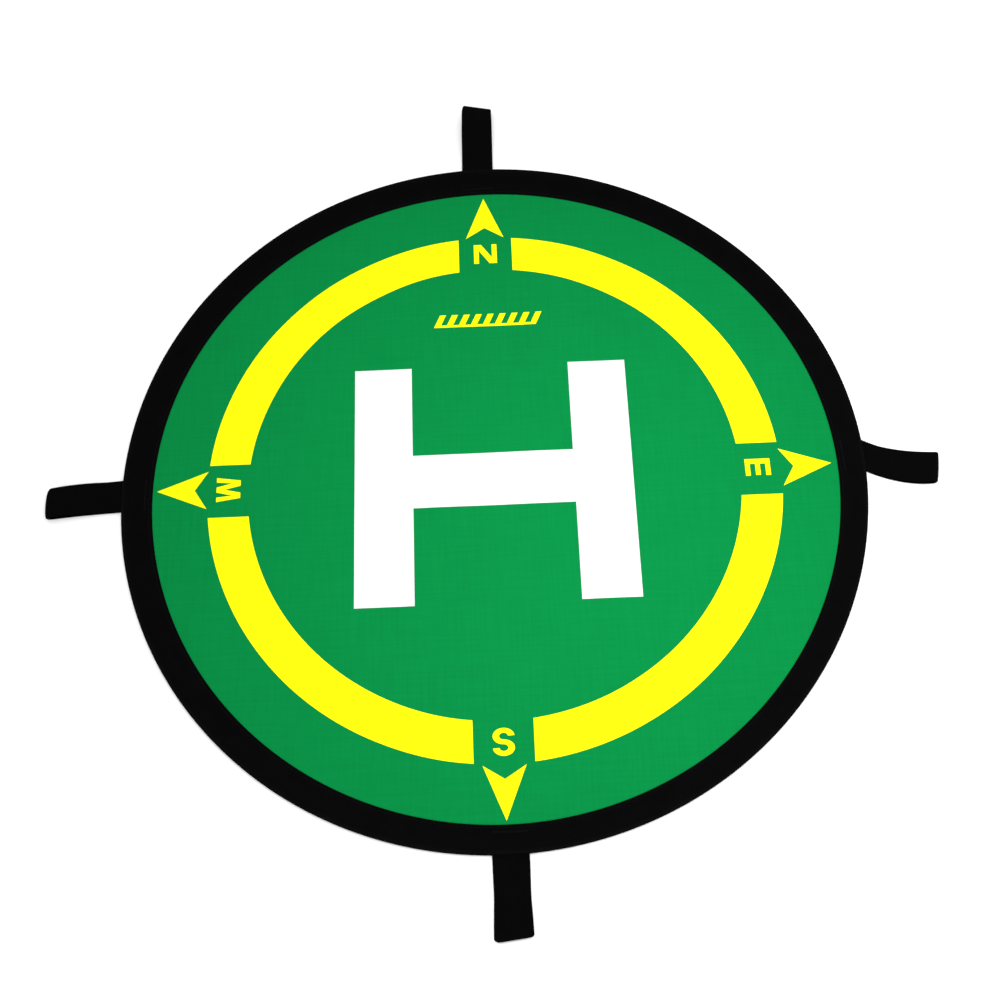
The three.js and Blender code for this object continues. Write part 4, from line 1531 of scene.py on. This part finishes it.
def loop_shell(loop, start, webbing):
    """One peg loop: the webbing's section carried out along the lower ply, round the end and back.

    In the loop's side view the plies lie gap + thickness apart, gap = eye * sin(pi / 2 * share) from where
    they part, and a half circle joins them. Then, with t the share of the length: the sides go sideways by
    drift0 + drift1 t + drift2 t^2 + wave sin(pi t), the end goes out by t^3 (skew v + bow (1 - v^2) - worn
    corner), v being -1 to 1 across it, the plies slide apart by splay t^2, the width narrows by
    waist exp(-((t - 0.5) / 0.2)^2) + taper t^2, and the section leans by twist * smooth step of t, its lower
    edge kept on the ground."""
    thick, half = webbing.thickness, webbing.width / 2
    extent = reach_of(loop) + loop.longer - start
    crown = extent - loop.eye / 2 - thick

    def gap_at(place):
        """Gap between the plies at a place along the loop."""
        parted = np.clip((place - webbing.eye_start) / (crown - webbing.eye_start), 0, 1)
        return loop.eye * np.sin(np.pi / 2 * parted)

    out = -webbing.tuck + (crown + webbing.tuck) * np.linspace(0, 1, webbing.steps) ** 1.3
    apart = (gap_at(out) + thick) / 2
    turn = np.linspace(-np.pi / 2, np.pi / 2, 17)[1:-1]
    path = np.concatenate([
        np.column_stack([out, -apart]),
        np.column_stack([crown + apart[-1] * np.cos(turn), apart[-1] * np.sin(turn)]),
        np.column_stack([out, apart])[::-1],
    ])
    tangent = np.gradient(path, axis=0)
    tangent /= np.linalg.norm(tangent, axis=1)[:, None]
    normal = np.column_stack([tangent[:, 1], -tangent[:, 0]])
    section = webbing_section(webbing)
    v, depth = section[:, 0] / half, section[:, 1]
    u = path[:, :1] + depth * normal[:, :1]
    n = path[:, 1:] + depth * normal[:, 1:]
    share = np.clip(u / extent, 0, 1.05)
    ply = np.clip(n / (apart[-1] - thick / 2), -1, 1)

    corner_from = 0.72  # share of the half width where a worn corner begins
    worn = sum(
        size * np.clip((side * v - corner_from) / (1 - corner_from), 0, 1) ** 2
        for size, side in zip(loop.corners, (-1, 1))
    )
    u = u + share**3 * (loop.skew * v + loop.bow * (1 - v**2) - worn)
    width = half * (1 - loop.waist * np.exp(-(((share - 0.5) / 0.2) ** 2)) - loop.taper * share**2)
    lean = math.radians(loop.twist) * smooth_step(share)
    sideways = loop.drift[0] + loop.drift[1] * share + loop.drift[2] * share**2
    sideways = sideways + loop.wave * np.sin(np.pi * share) + loop.splay * share**2 * ply
    middle = (gap_at(u) / 2 + thick) * np.cos(lean) + half * np.abs(np.sin(lean))
    root_lift, clear = 0.0003, 0.00005  # off the ground: more at the rim, and everywhere
    middle = middle + root_lift * (1 - smooth_step(share / 0.15)) + clear
    left = sideways + width * v * np.cos(lean) - n * np.sin(lean)
    height = middle + width * v * np.sin(lean) + n * np.cos(lean)
    points = place_on_loop(start + u, left, height, loop)
    return swept(points, cut_pattern(path_lengths(path)[:, None], girth(section)))


class LANDING_PAD_OT_add_peg_loops(bpy.types.Operator):
    """Adds the four webbing loops that tent pegs go through, and the sewn-in ends of their webbing"""

    bl_idname = "landing_pad.add_peg_loops"
    bl_label = "Add Peg Loops"

    def execute(self, context):
        settings = context.scene.landing_pad
        webbing = settings.webbing
        material = black_webbing(settings)
        section = webbing_section(webbing)
        lengths = girth(section)
        out = np.linspace(TAIL_INNER, TAIL_OUTER, 12)
        squeeze = 0.97  # keeps the two plies inside the tape apart
        for loop in PEG_LOOPS:
            body = "pad_" + loop.half
            rim_point = rim_place(PAD_RADIUS, math.radians(loop.azimuth), 0.0, settings.rim)
            start = float(np.linalg.norm(rim_point[:2]))
            points, patches = loop_shell(loop, start, webbing)
            piece = add_piece("peg_loop_" + loop.name, points, patches, material, "webbing")
            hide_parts("loop_" + loop.name)
            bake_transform(piece)

            shells = []
            for ply in (0.5, 1.5):
                level = TAIL_LOW + ply * (TAIL_HIGH - TAIL_LOW) / 2
                grid_out, left = np.meshgrid(out, section[:, 0] + loop.drift[0], indexing="ij")
                height = np.broadcast_to(level + squeeze * section[:, 1], left.shape)
                angle = math.radians(loop.azimuth) + left / grid_out
                points = rim_place(grid_out, angle, height, settings.rim)
                shells.append(swept(points, cut_pattern(out[:, None], lengths)))
            tail = add_piece("webbing_end_" + loop.name, *joined(shells), material, "webbing")
            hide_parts("loop_tail_" + loop.name)
            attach(tail, body)
        return {"FINISHED"}


class LANDING_PAD_OT_add_bartacks(bpy.types.Operator):
    """Adds the zigzag of dense stitching that holds each peg loop's webbing"""

    bl_idname = "landing_pad.add_bartacks"
    bl_label = "Add Bartacks"

    def execute(self, context):
        settings = context.scene.landing_pad
        rim, webbing = settings.rim, settings.webbing
        radius = rim.thread * 0.42  # of the thread, pulled a little thinner than the seam's
        half = webbing.width / 2 - radius
        waves = round(2 * half / webbing.tack_wave)
        points_a_wave = 10
        turn = np.linspace(0, 1, waves * points_a_wave + 1)
        for loop in PEG_LOOPS:
            # The thread swings in and out by swing * sin(2 pi * waves * t) as it goes across the webbing.
            left = loop.drift[0] + half * (2 * turn - 1)
            angle = math.radians(loop.azimuth) + left / BARTACK_RADIUS
            out = BARTACK_RADIUS + webbing.tack_swing * np.sin(2 * np.pi * waves * turn)
            height = tape_top(out, rim) + tape_lift(out, angle, rim) + 0.5 * radius
            points, patches = tube(rim_place(out, angle, height, rim), (0, 0, 1), radius)
            thread = tape_thread(settings)
            piece = add_piece("bartack_stitches_" + loop.name, points, patches, thread, "thread")
            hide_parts("bartack_" + loop.name)
            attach(piece, "pad_" + loop.half)
        return {"FINISHED"}


# ---- Stage ----


class LANDING_PAD_OT_add_stage(bpy.types.Operator):
    """Adds the white floor, the even sky, the soft light over the pad and the camera"""

    bl_idname = "landing_pad.add_stage"
    bl_label = "Add Stage"

    def execute(self, context):
        stage = context.scene.landing_pad.stage
        side = np.linspace(-stage.floor / 2, stage.floor / 2, 3)
        floor = bpy.data.meshes.new("floor")
        plan = np.stack(np.meshgrid(side, side, [0.0], indexing="ij"), -1).reshape(-1, 3)
        floor.from_pydata(plan.tolist(), [], grid_corners(3, 3)[0].tolist())
        floor.materials.append(floor_material("white_floor", stage.floor_white))
        floor_object = bpy.data.objects.new("floor", floor)
        context.scene.collection.objects.link(floor_object)

        world = bpy.data.worlds.new("white_sky")
        world.use_nodes = True
        sky = world.node_tree.nodes["Background"]
        sky.label = "Even white light"
        sky.inputs["Color"].default_value = (1, 1, 1, 1)
        sky.inputs["Strength"].default_value = stage.sky
        context.scene.world = world

        key = bpy.data.lights.new("soft_key", "AREA")
        key.shape = "RECTANGLE"
        key.size, key.size_y = stage.key_size, stage.key_size
        key.spread = stage.key_spread
        key.energy = stage.key
        key_object = bpy.data.objects.new("soft_key", key)
        key_object.location = stage.key_place
        context.scene.collection.objects.link(key_object)

        # Back is (sin az cos el, -cos az cos el, sin el). Right and up then turn about it by the roll.
        azimuth, elevation, roll = stage.azimuth, stage.elevation, stage.roll
        back = Vector((
            math.sin(azimuth) * math.cos(elevation),
            -math.cos(azimuth) * math.cos(elevation),
            math.sin(elevation),
        ))
        level = Vector((math.cos(azimuth), math.sin(azimuth), 0))
        right = level * math.cos(roll) - back.cross(level) * math.sin(roll)
        up = back.cross(right)
        camera = bpy.data.cameras.new("camera")
        camera.lens = stage.lens
        camera_object = bpy.data.objects.new("camera", camera)
        place = Matrix((right, up, back)).transposed().to_4x4()
        place.translation = Vector(stage.target) + back * stage.distance
        camera_object.matrix_world = place
        context.scene.collection.objects.link(camera_object)
        context.scene.camera = camera_object
        context.scene.view_settings.view_transform = "Standard"
        return {"FINISHED"}


# ---- Sidebar and registration ----


class VIEW3D_PT_landing_pad(bpy.types.Panel):
    """Lists the landing pad's pieces and settings"""

    bl_label = "Landing Pad"
    bl_space_type = "VIEW_3D"
    bl_region_type = "UI"
    bl_category = "Landing Pad"

    def draw(self, context):
        settings = context.scene.landing_pad
        for operator in OPERATORS:
            self.layout.operator(operator.bl_idname)
        for group in (settings.cloth, settings.ink, settings.rim, settings.webbing, settings.stage):
            box = self.layout.box()
            box.label(text=type(group).__doc__)
            for name in type(group).__annotations__:
                box.prop(group, name)


OPERATORS = (
    LANDING_PAD_OT_add_cloth,
    LANDING_PAD_OT_add_h,
    LANDING_PAD_OT_add_ring,
    LANDING_PAD_OT_add_compass,
    LANDING_PAD_OT_add_dashes,
    LANDING_PAD_OT_add_rim_tape,
    LANDING_PAD_OT_add_rim_stitches,
    LANDING_PAD_OT_add_hoop,
    LANDING_PAD_OT_add_ferrule,
    LANDING_PAD_OT_add_peg_loops,
    LANDING_PAD_OT_add_bartacks,
    LANDING_PAD_OT_add_stage,
)
CLASSES = (
    ClothSettings,
    PrintSettings,
    RimSettings,
    WebbingSettings,
    StageSettings,
    LandingPadSettings,
    *OPERATORS,
    VIEW3D_PT_landing_pad,
)


def register():
    """Adds the classes, and the settings to every scene."""
    for made in CLASSES:
        bpy.utils.register_class(made)
    bpy.types.Scene.landing_pad = PointerProperty(type=LandingPadSettings)


def unregister():
    """Takes them away again."""
    del bpy.types.Scene.landing_pad
    for made in reversed(CLASSES):
        bpy.utils.unregister_class(made)


def main():
    """Builds every piece round the frame."""
    register()
    bpy.ops.landing_pad.add_stage()
    bpy.ops.landing_pad.add_cloth()
    bpy.ops.landing_pad.add_h()
    bpy.ops.landing_pad.add_ring()
    bpy.ops.landing_pad.add_compass()
    bpy.ops.landing_pad.add_dashes()
    bpy.ops.landing_pad.add_rim_tape()
    bpy.ops.landing_pad.add_rim_stitches()
    bpy.ops.landing_pad.add_hoop()
    bpy.ops.landing_pad.add_ferrule()
    bpy.ops.landing_pad.add_peg_loops()
    bpy.ops.landing_pad.add_bartacks()


if __name__ == "__main__":
    main()
